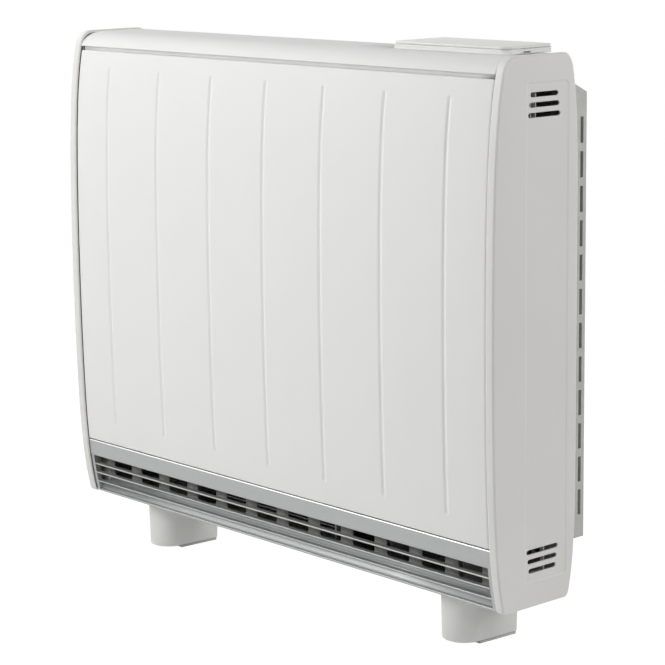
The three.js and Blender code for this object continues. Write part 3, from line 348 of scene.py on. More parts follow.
inner_face, rim_end, rim_cut, rim_ease = 408.2, half_length - cap_rim, 0.5, 0.2
recess_face = half_length - recess_drop
for side, hand in (("left", -1), ("right", 1)):
    bm = bmesh.new()

    def at(x, row):
        return [(hand * x, y, z) for y, z in row]

    rings = [at(inner_face, cap_outline(cap_wall)), at(rim_end + rim_cut, cap_outline(cap_wall)),
             at(rim_end, cap_outline(cap_wall - rim_ease))]
    for along, drop in rim_lead:
        rings.append(at(rim_end + along, cap_outline(drop)))
    rings.append(at(half_length - crown - edge_round, cap_outline(0)))
    for i in range(1, 10):
        a = math.radians(10 * i)
        rings.append(at(half_length - crown - edge_round * (1 - math.sin(a)),
                        cap_outline(edge_round * (1 - math.cos(a)))))
    edge_row, border_row = cap_outline(edge_round), recess_outline(0)
    for part in (0.12, 0.28, 0.5, 0.75, 1):
        row = [(a + (c - a) * part, b + (d - b) * part)
               for (a, b), (c, d) in zip(edge_row, border_row)]
        rings.append(at(half_length - crown * (1 - part) ** 2, row))
    for part in (0.17, 0.33, 0.5, 0.67, 0.83, 1):
        rings.append(at(half_length - recess_drop * (1 - math.cos(math.pi * part)) / 2,
                        recess_outline(recess_slope * part)))
    inner, outer = skin(bm, rings)
    inner_rows, outer_rows = [inner], [outer]
    for z, length in slot_places:
        far, near = skin(bm, [at(inner_face, slot_outline(z, length, 0)),
                              at(recess_face - slot_ease, slot_outline(z, length, 0)),
                              at(recess_face - 0.2, slot_outline(z, length, 0.2)),
                              at(recess_face, slot_outline(z, length, slot_ease))])
        inner_rows.append(far)
        outer_rows.append(near)
    between(bm, outer_rows, (hand, 0, 0))
    between(bm, inner_rows, (hand, 0, 0))
    for way, ribs in rib_places.items():
        middle = sum(z for z, length in slot_places if (z - middle_z) * way > 0) / 3
        for y in ribs:
            outline = [(y - rib_half, middle - rib_reach), (y + rib_half, middle - rib_reach),
                       (y + rib_half, middle + rib_reach), (y - rib_half, middle + rib_reach)]
            solid(bm, [at(inner_face - rib_deep, outline), at(inner_face - rib_set, outline)])
    cap = finished(bm, f"cap_{side}", moulded_abs)
    modify(cap, "WEIGHTED_NORMAL", keep_sharp=True)
    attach(cap, "heater")
    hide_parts(f"end_cap_{side}")


# ---- Front panel --------------------------------------------------------------------
# One sheet of 1.2 mm steel, bowed from top to bottom and stove-enamelled white. Its
# four edges are folded back, and seven shallow upright grooves are pressed into it.
sheet_steel = 1.2
panel_half, panel_low, panel_high = 396.7, 146.5, 694.4
panel_inset, fold_round, right_round, fold_depth, top_depth = 3.0, 1.7, 5.5, 7.0, 2.7
groove_places = [-327, -218, -109, 0, 109, 218, 327]
groove_half, groove_drop, groove_low, groove_high = 4.6, 1.5, 174.3, 675
groove_fade, groove_least = 12.0, 0.35
flank_near, flank_far = 14, 38

# Stove enamel: a hard satin white with a very slight orange peel, 3 mm from dimple to
# dimple, which spreads the light along each groove.
enamel_white, enamel_shade = "F4F4F3", "F1F1F0"
stove_enamel, tree, shader, place = surface("stove_enamel", enamel_white, 0.62, ior=1.42)
cloud = add(tree, "ShaderNodeTexNoise", {"Vector": place, "Scale": 6.0, "Detail": 2.0})
tint = add(tree, "ShaderNodeMix", {
    0: cloud.outputs["Fac"], 6: colour(enamel_white), 7: colour(enamel_shade)}, data_type="RGBA")
peel = add(tree, "ShaderNodeTexNoise", {"Vector": place, "Scale": 330.0, "Detail": 1.0})
raised = add(tree, "ShaderNodeBump", {
    "Height": peel.outputs["Fac"], "Strength": 0.06, "Distance": 0.0004})
dulled = add(tree, "ShaderNodeMapRange", {
    "Value": cloud.outputs["Fac"], "To Min": 0.6, "To Max": 0.66})
connect(tree, shader, {
    "Base Color": tint.outputs[2], "Roughness": dulled.outputs[0], "Normal": raised.outputs[0]})


def fold(end, inwards, bend_round, depth):
    """A fold at one end of a sheet, from its free edge to the flat: (where, how far back)."""
    row = [(end, depth), (end, (depth + bend_round) / 2)]
    for i in range(7):
        a = math.radians(15 * i)
        row.append((end + inwards * bend_round * (1 - math.cos(a)), bend_round * (1 - math.sin(a))))
    return row


groove_steps = [groove_half * i / 7 for i in range(-8, 9)]
panel_x = []
for middle in groove_places:
    panel_x += [middle - flank_far, middle - flank_near]
    panel_x += [middle + step for step in groove_steps]
    panel_x += [middle + flank_near, middle + flank_far]
panel_z = [groove_low - 20, groove_low - 6] + [groove_low + i for i in range(-3, 12)]
panel_z += [groove_low + 20 + (groove_high - groove_low - 40) * i / 56 for i in range(57)]
panel_z += [groove_high - i for i in range(11, -4, -1)] + [groove_high + 7, groove_high + 14]
columns = fold(-panel_half, 1, fold_round, fold_depth) + [(x, 0) for x in panel_x]
columns += reversed(fold(panel_half, -1, right_round, fold_depth))
rows = fold(panel_low, 1, fold_round, fold_depth) + [(z, 0) for z in panel_z]
rows += reversed(fold(panel_high, -1, fold_round, top_depth))


def pressed(x, z):
    """How deep the grooves are pressed at a place on the panel."""
    across = min(abs(x - middle) for middle in groove_places)
    past = max(0, groove_low + groove_half - z, z - groove_high + groove_half)
    reach = math.hypot(across, past)
    if reach >= groove_half:
        return 0
    end = min(1, max(0, min(z - groove_low, groove_high - z) / groove_fade))
    depth = groove_drop * (1 + math.cos(math.pi * reach / groove_half)) / 2
    return depth * (groove_least + (1 - groove_least) * end * (2 - end))


def faces_in(bm, test):
    """The faces whose middle passes a test of its x, y and z."""
    return [face for face in bm.faces if test(*face.calc_center_median())]


bm = bmesh.new()
skin(bm, [[(x, front_at(z) + panel_inset + fx + fz + pressed(x, z), z) for z, fz in rows]
          for x, fx in columns], closed=False)
lapped = faces_in(bm, lambda x, y, z: abs(x) > panel_half - 0.01
                  and not panel_low + 0.01 < z < panel_high - 0.01)
bmesh.ops.delete(bm, geom=lapped, context="FACES")
panel = finished(bm, "panel_front", stove_enamel, facing=Vector((0, -1, 0)))
modify(panel, "SOLIDIFY", thickness=sheet_steel / 1000, offset=-1, use_even_offset=True)
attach(panel, "heater")
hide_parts("front_panel")


# ---- Top cover ----------------------------------------------------------------------
# One sheet of the same enamelled steel lies flat over the top, rolls down to the
# front as a strip that stands proud of the panel, and curls down at the rear.
cover_half, cover_inset = 396.2, 1.5
cover_top = high_z - cover_inset
strip_foot, strip_fold, flat_front, wall_foot, wall_half = 699.8, 4.4, -33.0, 690, 394.4
strip_y = front_at(strip_foot) + cover_inset
pod_hole = (198, 368, -20, 38.6)
cover_row = [(strip_y + strip_fold, wall_foot), (strip_y + strip_fold, strip_foot - 1.0),
             (strip_y + strip_fold - 0.4, strip_foot - 0.1), (strip_y + 1.2, strip_foot),
             (strip_y + 0.35, strip_foot + 0.3)]
foot_point = (strip_y, strip_foot + 1.1)
knee_point = (front_at(high_z) + cover_inset + 2.5, cover_top - 1.0)
crest_point = (flat_front, cover_top)
cover_row += corner(foot_point, knee_point, crest_point, 24)
cover_row += [(flat_front, cover_top), (flat_front + 1.0, cover_top)]
cover_row += [(y, cover_top) for y in (-26, pod_hole[2], -8, 4, 20)]
rear_top = (rear_at(high_z) - cover_inset - rear_turn, cover_top)
cover_row += corner(rear_top, (rear_at(high_z) - cover_inset, cover_top),
                    (rear_at(side_high) - cover_inset, side_high), 10)
cover_row += [(rear_at(z) - cover_inset, z) for z in (side_high, 697, 693, wall_foot)]
cover_x = [-cover_half, -wall_half, -300, -200, -100, 0, 100, pod_hole[0], 250, 290, 330,
           pod_hole[1], wall_half, cover_half]
bm = bmesh.new()
skin(bm, [[(x, y, z) for y, z in cover_row] for x in cover_x], closed=False)
hidden = faces_in(bm, lambda x, y, z: pod_hole[0] < x < pod_hole[1]
                  and pod_hole[2] < y < pod_hole[3] and z > cover_top - 2.2)
hidden += faces_in(bm, lambda x, y, z: abs(x) > wall_half and y < 0 and z < strip_foot - 0.5)
bmesh.ops.delete(bm, geom=hidden, context="FACES")
cover = finished(bm, "cover_top", stove_enamel, facing=Vector((0, -0.3, 1)), sharp=12)
modify(cover, "SOLIDIFY", thickness=sheet_steel / 1000, offset=-1, use_even_offset=True)
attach(cover, "heater")
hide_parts("top_cover")


# ---- Air outlet grille --------------------------------------------------------------
# A steel strip painted satin silver spans the foot of the front, with three thin
# blades under a broad band and a lip, all let into end strips behind the caps.
grille_half, grille_end = 396.2, 6
grille_inset, band_top, band_foot, band_nose, band_deep = 3.0, 145.5, 121.6, 2.2, 2.4
blade_places = (109.55, 96.4, 83.25)
blade_high, blade_deep, blade_nose, blade_bite = 2.2, 8, 1.0, 0.4
lip_low, lip_high, lip_nose, lip_deep = 68, 71.2, 1.3, 14
end_strip_set = 0.4

# Silver metallic paint: aluminium flake in a satin lacquer. The flakes are 0.1 mm and
# are drawn at 0.9 mm, so that a faint sparkle breaks up the long bands of light.
silver_base, silver_light = "A8A9A9", "B7B8B8"
silver_paint, tree, shader, place = surface(
    "silver_flake_paint", silver_base, 0.38, metallic=0.55, ior=1.5)
flake = add(tree, "ShaderNodeTexVoronoi", {"Vector": place, "Scale": 1100.0})
tint = add(tree, "ShaderNodeMix", {
    0: flake.outputs["Distance"], 6: colour(silver_base), 7: colour(silver_light)},
    data_type="RGBA")
raised = add(tree, "ShaderNodeBump", {
    "Height": flake.outputs["Distance"], "Strength": 0.05, "Distance": 0.0002})
connect(tree, shader, {"Base Color": tint.outputs[2], "Normal": raised.outputs[0]})


def grille_bar(bm, low, high, deep, nose, half):
    """A bar across the outlet whose front is rounded and follows the bow of the case."""
    row = [(front_at(high) + grille_inset + deep, high),
           (front_at(high) + grille_inset + nose, high)]
    for i in range(1, 5):
        a = math.radians(22.5 * i)
        z = high - nose * (1 - math.cos(a))
        row.append((front_at(z) + grille_inset + nose * (1 - math.sin(a)), z))
    for i in range(1, 9):
        z = high - nose + (low + nose - high + nose) * i / 9
        row.append((front_at(z) + grille_inset, z))
    for i in range(0, 5):
        a = math.radians(22.5 * i)
        z = low + nose * (1 - math.sin(a))
        row.append((front_at(z) + grille_inset + nose * (1 - math.cos(a)), z))
    row.append((front_at(low) + grille_inset + deep, low))
    solid(bm, [[(x, y, z) for y, z in row] for x in (-half, half)])


bm = bmesh.new()
grille_bar(bm, band_foot, band_top, band_deep, band_nose, grille_half)
grille_bar(bm, lip_low, lip_high, lip_deep, lip_nose, grille_half)
for z in blade_places:
    grille_bar(bm, z - blade_high / 2, z + blade_high / 2, blade_deep, blade_nose,
               grille_half - grille_end + blade_bite)
for hand in (-1, 1):
    strip = [(front_at(z) + grille_inset + end_strip_set, z)
             for z in (band_top - 2, 130, 115, 100, 90, 80, lip_low + 1)]
    back = [(y + blade_deep - end_strip_set, z) for y, z in reversed(strip)]
    solid(bm, [[(hand * x, y, z) for y, z in strip + back]
               for x in (grille_half - grille_end, grille_half - 0.2)])
grille = finished(bm, "grille", silver_paint)
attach(grille, "heater")
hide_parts("outlet_grille")

# Bright aluminium: a drawn strip with fine lines along it on the band's rolled top edge.
# The edge really catches the light. Its finish is brighter and more metallic than the
# band's silver paint, which paints that highlight in as one thin white line above the band.
trim_high, trim_proud = 1.7, 0.4
highlight_trim_metal, tree, shader, place = surface("drawn_aluminium_painted_highlight", "E2E2E1", 0.36, metallic=1.0)
stretched = add(tree, "ShaderNodeMapping", {"Vector": place, "Scale": (6, 900, 900)})
drawn_line = add(tree, "ShaderNodeTexNoise", {
    "Vector": stretched.outputs[0], "Scale": 1.0, "Detail": 2.0})
dulled = add(tree, "ShaderNodeMapRange", {
    "Value": drawn_line.outputs["Fac"], "To Min": 0.3, "To Max": 0.42})
connect(tree, shader, {"Roughness": dulled.outputs[0]})
trim_shape = [(1.6, -0.3), (1.0, -0.05), (0.4, -0.05), (0.0, -0.2), (-0.25, -0.45),
              (-trim_proud, -0.8), (-trim_proud, -1.1), (-0.25, -1.45), (0.0, -trim_high),
              (0.5, -trim_high - 0.2), (1.6, -trim_high - 0.2)]
trim_row = [(front_at(band_top) + grille_inset + back, band_top + up) for back, up in trim_shape]
bm = bmesh.new()
solid(bm, [[(x, y, z) for y, z in trim_row] for x in (-grille_half, grille_half)])
trim = finished(bm, "band_trim", highlight_trim_metal)
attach(trim, "heater")
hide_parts("outlet_grille")


# ---- Screen behind the outlet -------------------------------------------------------
# A strip of dark sheet with twelve round-cornered holes in a row keeps fingers out of
# the hot air way. Under it a silver sheet turns the air forwards, held by two screws.
screen_half, screen_face, screen_low, screen_high = 395.4, -56, 91.5, 130
hole_count, hole_pitch, hole_long, hole_high, hole_low, hole_corner = 12, 62.6, 40, 24, 93.7, 5

# Dull grey paint on steel, with a little dust that lightens it in clouds.
dark_paint, tree, shader, place = surface("dull_dark_paint", "858583", 0.62)
dust = add(tree, "ShaderNodeTexNoise", {"Vector": place, "Scale": 40.0, "Detail": 4.0})
tint = add(tree, "ShaderNodeMix", {
    0: dust.outputs["Fac"], 6: colour("7D7D7B"), 7: colour("8D8D8A")}, data_type="RGBA")
raised = add(tree, "ShaderNodeBump", {
    "Height": dust.outputs["Fac"], "Strength": 0.1, "Distance": 0.0003})
connect(tree, shader, {"Base Color": tint.outputs[2], "Normal": raised.outputs[0]})


def round_rectangle(x0, x1, y0, y1, radius, steps=6, far=None, left=None):
    """A closed row of points round a rectangle. Its far right and left corners may differ."""
    far, left = far or radius, left or radius
    row = []
    for cx, cy, r, begin in (
            (x1 - far, y1 - far, far, 0), (x0 + left, y1 - left, left, 90),
            (x0 + left, y0 + left, left, 180), (x1 - radius, y0 + radius, radius, 270)):
        for i in range(steps + 1):
            a = math.radians(begin + 90 * i / steps)
            row.append((cx + r * math.cos(a), cy + r * math.sin(a)))
    return row


bm = bmesh.new()
rows = [round_rectangle(-screen_half, screen_half, screen_low, screen_high, 1)]
for i in range(hole_count):
    middle = hole_pitch * (i - (hole_count - 1) / 2)
    rows.append(round_rectangle(middle - hole_long / 2, middle + hole_long / 2, hole_low,
                                hole_low + hole_high, hole_corner))
drawn = []
for row in rows:
    ring = bmesh.ops.create_circle(bm, segments=len(row), radius=1)["verts"]
    for vert, (x, z) in zip(ring, row):
        vert.co = (x, screen_face, z)
    drawn.append(ring)
between(bm, drawn, (0, -1, 0))
screen = finished(bm, "screen", dark_paint, facing=Vector((0, -1, 0)))
modify(screen, "SOLIDIFY", thickness=sheet_steel / 1000, offset=-1)
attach(screen, "heater")
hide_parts("outlet_screen")


def dress(name, material):
    """Gives a CAD piece that keeps its mesh its material."""
    for entry in nodes[name].material_slots:
        entry.material = material


dress("screen_ledge", dark_paint)

deflector_half = 394
deflector_row = [(-61.8, 70.4), (-61.8, 73.2), (-61.5, 74.3), (-56.5, 83.0), (-56.1, 84.2),
                 (screen_face, 85.5), (screen_face, 91.3)]
bm = bmesh.new()
skin(bm, [[(x, y, z) for y, z in deflector_row]
          for x in (-deflector_half, -200, 0, 200, deflector_half)], closed=False)
deflector = finished(bm, "deflector", silver_paint, facing=Vector((0, -1, 0.3)))
modify(deflector, "SOLIDIFY", thickness=sheet_steel / 1000, offset=-1, use_even_offset=True)
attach(deflector, "heater")
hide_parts("outlet_deflector")

# Zinc on steel: dull grey, with the large soft spangle of hot-dipped sheet, 9 mm
# across, and fine rolling lines that run along the heater.
zinc_light, zinc_dark = "B6B6B3", "ACACA9"
zinc_sheet, tree, shader, place = surface("spangled_zinc", zinc_light, 0.45, metallic=0.4)
spangle = add(tree, "ShaderNodeTexVoronoi", {"Vector": place, "Scale": 110.0})
stretched = add(tree, "ShaderNodeMapping", {"Vector": place, "Scale": (4, 400, 400)})
rolled_line = add(tree, "ShaderNodeTexNoise", {
    "Vector": stretched.outputs[0], "Scale": 1.0, "Detail": 2.0})
tint = add(tree, "ShaderNodeMix", {
    0: spangle.outputs["Color"], 6: colour(zinc_light), 7: colour(zinc_dark)}, data_type="RGBA")
dulled = add(tree, "ShaderNodeMapRange", {
    "Value": rolled_line.outputs["Fac"], "To Min": 0.38, "To Max": 0.52})
raised = add(tree, "ShaderNodeBump", {
    "Height": rolled_line.outputs["Fac"], "Strength": 0.05, "Distance": 0.0002})
connect(tree, shader, {
    "Base Color": tint.outputs[2], "Roughness": dulled.outputs[0], "Normal": raised.outputs[0]})

screw_x, screw_z, screw_steps = 377, 87.5, 24
screw_profile = [(1.4, -51.8), (1.4, -56.1), (3.0, -56.1), (3.0, -56.7), (2.8, -57.2),
                 (2.3, -57.6), (1.7, -57.8), (0.9, -57.8), (0.5, -56.9)]
turns = [math.tau * i / screw_steps for i in range(screw_steps)]
for side, hand in (("left", -1), ("right", 1)):
    bm = bmesh.new()
    solid(bm, [[(hand * screw_x + radius * math.cos(a), y, screw_z + radius * math.sin(a))
                for a in turns] for radius, y in screw_profile])
    screw = finished(bm, f"screw_{side}", zinc_sheet)
    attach(screw, "heater")
    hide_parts(f"deflector_screw_{side}")


# ---- Feet ---------------------------------------------------------------------------
# Two hollow moulded feet, round in front and square behind, are screwed up into the
# base tray. The rear of each stands on a thin grey rubber pad.
foot_middle, foot_half, nose_radius, nose_y = 293.5, 32, 28.5, -15.5
foot_rear, foot_rear_corner = 48, 3
foot_low, foot_high, foot_edge, foot_wall, socket_deep = 3, 68.8, 1.6, 3.0, 4


def foot_plan(inset):
    """The foot seen from above: a round nose that widens to a square rear."""
    radius, half, rear = nose_radius - inset, foot_half - inset, foot_rear - inset
    turn = foot_rear_corner
    row = [(radius * math.sin(a), nose_y - radius * math.cos(a))
           for a in [math.radians(-90 + 7.5 * i) for i in range(25)]]
    row += straight((radius, nose_y), (half, rear - turn), 8)[1:]
    row += corner((half, rear - turn), (half, rear), (half - turn, rear), 4)
    row += straight((half - turn, rear), (turn - half, rear), 8)
    row += corner((turn - half, rear), (-half, rear), (-half, rear - turn), 4)
    row += straight((-half, rear - turn), (-radius, nose_y), 8)
    return row


# Moulded polypropylene: a little waxier than the caps, with a faint flow mottle a few
# centimetres across from the way the melt filled the mould. It is drawn whiter than the
# caps as painted light, making up for the shade that the body casts on the feet.
lightened_polypropylene, tree, shader, place = surface("moulded_polypropylene_painted_light", "EFEFEC", 0.45, ior=1.49)
flow = add(tree, "ShaderNodeTexNoise", {"Vector": place, "Scale": 22.0, "Detail": 3.0})
tint = add(tree, "ShaderNodeMix", {
    0: flow.outputs["Fac"], 6: colour("F1F1EE"), 7: colour("E9E9E6")}, data_type="RGBA")
dulled = add(tree, "ShaderNodeMapRange", {
    "Value": flow.outputs["Fac"], "To Min": 0.4, "To Max": 0.5})
connect(tree, shader, {"Base Color": tint.outputs[2], "Roughness": dulled.outputs[0]})

# Cellular rubber: matt and pale grey, with open pores about a millimetre across.
rubber, tree, shader, place = surface("cellular_rubber", "CFCFCB", 0.85, ior=1.52)
pores = add(tree, "ShaderNodeTexVoronoi", {"Vector": place, "Scale": 900.0})
tint = add(tree, "ShaderNodeMix", {
    0: pores.outputs["Distance"], 6: colour("C6C6C2"), 7: colour("D6D6D2")}, data_type="RGBA")
raised = add(tree, "ShaderNodeBump", {
    "Height": pores.outputs["Distance"], "Strength": 0.4, "Distance": 0.0004})
connect(tree, shader, {"Base Color": tint.outputs[2], "Normal": raised.outputs[0]})

for side, hand in (("left", -1), ("right", 1)):
    bm = bmesh.new()
    rings = []
    for inset, z in ((foot_wall, foot_high - socket_deep), (foot_wall, foot_high), (0, foot_high)):
        rings.append([(hand * foot_middle + x, y, z) for x, y in foot_plan(inset)])
    for i in range(6):
        a = math.radians(18 * i)
        rings.append([(hand * foot_middle + x, y, foot_low + foot_edge * (1 - math.sin(a)))
                      for x, y in foot_plan(foot_edge * (1 - math.cos(a)) + 1.0)])
    solid(bm, rings)
    # The feet wear the whiter plastic: painted light against the body's shade on them.
    foot = finished(bm, f"stand_{side}", lightened_polypropylene)
    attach(foot, "heater")
    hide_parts(f"foot_{side}")
    dress(f"foot_pad_{side}", rubber)


# ---- Control pod --------------------------------------------------------------------
# A low moulded tray clips into the top cover and holds a smoked window and five keys.
# It has a shadow line round its wall and a narrow notch in its end, and a thin lid on
# a steel pin at the rear closes over it.
pod_x, pod_y, pod_corners, pod_wall = (189, 377), (-29, 48), (12, 4, 2), 1.6
pod_low, pod_high, deck_top, deck_under = 718.7, 725.0, 722.9, 720.9
line_low, line_high, line_drop = 722.0, 722.7, 0.45
notch_y, notch_z, notch_deep = (-0.9, 11.1), (719.9, 721.6), 7.0
window_x, window_y, window_slack = (203, 259), (-2.5, 21.5), 0.2
key_x = {"mode": 273.5, "down": 288, "up": 302.5, "clock": 317, "boost": 331.5}
key_y, key_radius, key_top, key_slack = 9.5, 5, 724.3, 0.3
skirt_x, skirt_y, skirt_low, board_shelf = (198.2, 367.8), (-19.8, 38.8), 701.7, 707.1
hinge_y, hinge_z, knuckle_radius, pin_radius = 50.6, 722.9, 2.1, 0.9
ear_from_end, ear_wide = 15, 6

# Pod plastic: ABS like the caps', but smoother and a shade whiter.
pod_white, pod_shade = "F1F1EF", "ECECEA"
satin_plastic, tree, shader, place = surface("satin_moulding", pod_white, 0.4, ior=1.54)
cloud = add(tree, "ShaderNodeTexNoise", {"Vector": place, "Scale": 25.0, "Detail": 2.0})
tint = add(tree, "ShaderNodeMix", {
    0: cloud.outputs["Fac"], 6: colour(pod_white), 7: colour(pod_shade)}, data_type="RGBA")
grain = add(tree, "ShaderNodeTexNoise", {"Vector": place, "Scale": 900.0, "Detail": 2.0})
raised = add(tree, "ShaderNodeBump", {
    "Height": grain.outputs["Fac"], "Strength": 0.06, "Distance": 0.0002})
connect(tree, shader, {"Base Color": tint.outputs[2], "Normal": raised.outputs[0]})


def pod_row(inset, z):
    """The tray's outline, with two more points where the notch is on its right-hand end."""
    near, far, left = [r - inset for r in pod_corners]
    row = round_rectangle(pod_x[0] + inset, pod_x[1] - inset, pod_y[0] + inset, pod_y[1] - inset,
                          near, 9, far, left)
    row += [(pod_x[1] - inset, notch_y[0]), (pod_x[1] - inset, notch_y[1])]
    return [(x, y, z) for x, y in row]


def skirt_row(inset, z):
    """The outline of the skirt that hangs through the hole in the top cover."""
    return [(x, y, z) for x, y in round_rectangle(
        skirt_x[0] + inset, skirt_x[1] - inset, skirt_y[0] + inset, skirt_y[1] - inset, 0.6, 2)]


def disc(x, y, radius, z, steps=32):
    """A level ring of points."""
    return [(x + radius * math.cos(a), y + radius * math.sin(a), z)
            for a in [math.tau * i / steps for i in range(steps)]]


def barrel(bm, start, end, bore):
    """A hollow barrel round the hinge's axis."""
    rings = []
    for x, radius in ((start, bore), (start, knuckle_radius - 0.2), (start + 0.2, knuckle_radius),
                      (end - 0.2, knuckle_radius), (end, knuckle_radius - 0.2), (end, bore),
                      (start, bore)):
        rings.append([(x, hinge_y + a, hinge_z + b) for a, b, _ in disc(0, 0, radius, 0, 24)])
    skin(bm, rings)


bm = bmesh.new()
under_row, deck_row = skin(bm, [pod_row(inset, z) for inset, z in (
    (0.4, pod_low), (0.1, pod_low + 0.15), (0, pod_low + 0.4), (0, notch_z[0]), (0, notch_z[1]),
    (0, line_low - 0.1), (line_drop, line_low + 0.05), (line_drop, line_high - 0.1), (0, line_high),
    (0, pod_high - 0.4), (0.12, pod_high - 0.12), (0.4, pod_high), (pod_wall - 0.3, pod_high),
    (pod_wall, pod_high - 0.3), (pod_wall, deck_top + 0.3), (pod_wall + 0.3, deck_top))])
skirt_top, deck_back = skin(bm, [skirt_row(inset, z) for inset, z in (
    (0, pod_low), (0, skirt_low + 0.4), (0.4, skirt_low), (2 * pod_wall, skirt_low),
    (2 * pod_wall, board_shelf), (pod_wall, board_shelf), (pod_wall, deck_under))])
tops, backs = [deck_row], [deck_back]
holes = [[[(x, y, z) for x, y in round_rectangle(
    window_x[0] - gap, window_x[1] + gap, window_y[0] - gap, window_y[1] + gap, 0.3, 2)]
          for gap, z in ((window_slack + 0.3, deck_top), (window_slack, deck_top - 0.3),
                         (window_slack, deck_under))]]
holes += [[disc(x, key_y, key_radius + gap, z) for gap, z in (
    (key_slack + 0.4, deck_top), (key_slack, deck_top - 0.4), (key_slack, deck_under))]
          for x in key_x.values()]
for rings in holes:
    near, far = skin(bm, rings)
    tops.append(near)
    backs.append(far)
between(bm, tops, (0, 0, 1))
between(bm, backs, (0, 0, -1))
between(bm, [under_row, skirt_top], (0, 0, -1))
notch = faces_in(bm, lambda x, y, z: x > pod_x[1] - 0.01 and notch_z[0] < z < notch_z[1]
                 and notch_y[0] < y < notch_y[1])
sunk = bmesh.ops.extrude_face_region(bm, geom=notch)["geom"]
bmesh.ops.translate(bm, vec=(-notch_deep, 0, 0),
                    verts=[v for v in sunk if isinstance(v, bmesh.types.BMVert)])
bmesh.ops.delete(bm, geom=notch, context="FACES_ONLY")
for start in (pod_x[0] + ear_from_end, pod_x[1] - ear_from_end - ear_wide):
    barrel(bm, start, start + ear_wide, pin_radius)
    solid(bm, [[(x, y, z) for y, z in (
        (pod_y[1] - 0.1, pod_low + 0.1), (hinge_y - 0.3, pod_low + 0.1),
        (hinge_y + 0.1, hinge_z - 1.9), (hinge_y - 1.8, hinge_z + 0.2),
        (hinge_y - 1.6, hinge_z + 1.2), (pod_y[1] - 0.1, hinge_z + 1.6))]
               for x in (start, start + ear_wide)])
tray = finished(bm, "pod_tray", satin_plastic, sharp=32)
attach(tray, "heater")
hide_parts("control_housing")

# Key plastic: the same satin moulding in a soft cool grey, so that the keys stand out.
grey_moulding, tree, shader, place = surface("grey_satin_moulding", "B9BBBD", 0.42, ior=1.54)
cloud = add(tree, "ShaderNodeTexNoise", {"Vector": place, "Scale": 60.0, "Detail": 2.0})
tint = add(tree, "ShaderNodeMix", {
    0: cloud.outputs["Fac"], 6: colour("B6B8BA"), 7: colour("BDBFC1")}, data_type="RGBA")
connect(tree, shader, {"Base Color": tint.outputs[2]})

key_profile = [(0.6, 712.4), (1.7, 712.4), (2.0, 712.7), (2.0, 719.1), (6.4, 719.1),
               (6.6, 719.3), (6.6, 720.4), (6.4, 720.6), (key_radius, 720.6),
               (key_radius, key_top - 0.8), (key_radius - 0.1, key_top - 0.42),
               (key_radius - 0.35, key_top - 0.14), (key_radius - 0.8, key_top),
               (3.4, key_top - 0.06), (1.8, key_top - 0.22), (0.6, key_top - 0.27)]
for name, x in key_x.items():
    bm = bmesh.new()
    solid(bm, [disc(x, key_y, radius, z) for radius, z in key_profile])
    key = finished(bm, f"key_{name}", grey_moulding)
    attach(key, f"key_{name}")
    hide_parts(f"button_{name}")

lid_x, lid_y, lid_low, lid_high = (193, 379), (-31, 52.2), 725.3, 728.4
lid_corner, lid_left, lid_hollow, lid_rim = 14, 3, 0.6, 3.0
bm = bmesh.new()
rings = []
for inset, z in ((lid_rim + 0.5, lid_low + lid_hollow), (lid_rim, lid_low), (0.3, lid_low),
                 (0, lid_low + 0.3), (0, lid_high - 1.3), (0.1, lid_high - 0.8),
                 (0.4, lid_high - 0.35), (0.9, lid_high - 0.08), (1.5, lid_high)):
    row = round_rectangle(lid_x[0] + inset, lid_x[1] - inset, lid_y[0] + inset, lid_y[1] - inset,
                          lid_corner - inset, 9, left=max(0.4, lid_left - inset))
    rings.append([(x, y, z) for x, y in row])
solid(bm, rings)
knuckle_from_end, knuckle_wide, web_half = 21.3, 9, 1.1
for start in (pod_x[0] + knuckle_from_end, pod_x[1] - knuckle_from_end - knuckle_wide):
    barrel(bm, start, start + knuckle_wide, pin_radius)
    solid(bm, [[(x, y, z) for x, y in (
        (start, hinge_y - web_half), (start + knuckle_wide, hinge_y - web_half),
        (start + knuckle_wide, hinge_y + web_half), (start, hinge_y + web_half))]
               for z in (hinge_z + 1.7, lid_low + 0.1)])
lid = finished(bm, "lid", satin_plastic)
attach(lid, "lid")
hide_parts("control_lid")

# Smoked polycarbonate: a glossy, nearly black window that hides the display at rest.
smoked, tree, shader, place = surface("smoked_polycarbonate", "1B1D20", 0.08, ior=1.585)
haze = add(tree, "ShaderNodeTexNoise", {"Vector": place, "Scale": 60.0, "Detail": 2.0})
dulled = add(tree, "ShaderNodeMapRange", {
    "Value": haze.outputs["Fac"], "To Min": 0.05, "To Max": 0.12})
connect(tree, shader, {"Roughness": dulled.outputs[0]})
dress("display_window", smoked)


# ---- Steel case, wall spacers and rail ----------------------------------------------
# The inner case is zinc-coated sheet, folded and spot-welded. Two slotted upright
# spacers and a rail on its back hold the heater off the wall and take the wall screws.
for name in ("side_plate_left", "side_plate_right", "back_panel", "base_tray",
             "wall_spacer_left", "wall_spacer_right", "wall_rail", "core_stand",
             "fan_housing", "damper_flap", "lid_hinge_pin"):
    dress(name, zinc_sheet)
for name in ("fan_rotor", "room_sensor"):
    dress(name, silver_paint)


# ---- Heat store ---------------------------------------------------------------------
# Eight dense bricks stand in two rows, wound through by two tubular elements, inside
# a jacket of pressed fibre slabs.
# Fired brick: dull red-brown with dark iron specks of 1 to 3 mm and a pitted skin.
fired_brick, tree, shader, place = surface("fired_iron_brick", "6E4A3B", 0.9)
speck = add(tree, "ShaderNodeTexNoise", {
    "Vector": place, "Scale": 380.0, "Detail": 5.0, "Roughness": 0.7})
tint = add(tree, "ShaderNodeValToRGB", {0: speck.outputs["Fac"]})
tint.color_ramp.elements[0].color = colour("3A2A24")
tint.color_ramp.elements[0].position = 0.36
tint.color_ramp.elements[1].color = colour("7A5343")
tint.color_ramp.elements[1].position = 0.58
raised = add(tree, "ShaderNodeBump", {
    "Height": speck.outputs["Fac"], "Strength": 0.5, "Distance": 0.0008})
connect(tree, shader, {"Base Color": tint.outputs[0], "Normal": raised.outputs[0]})

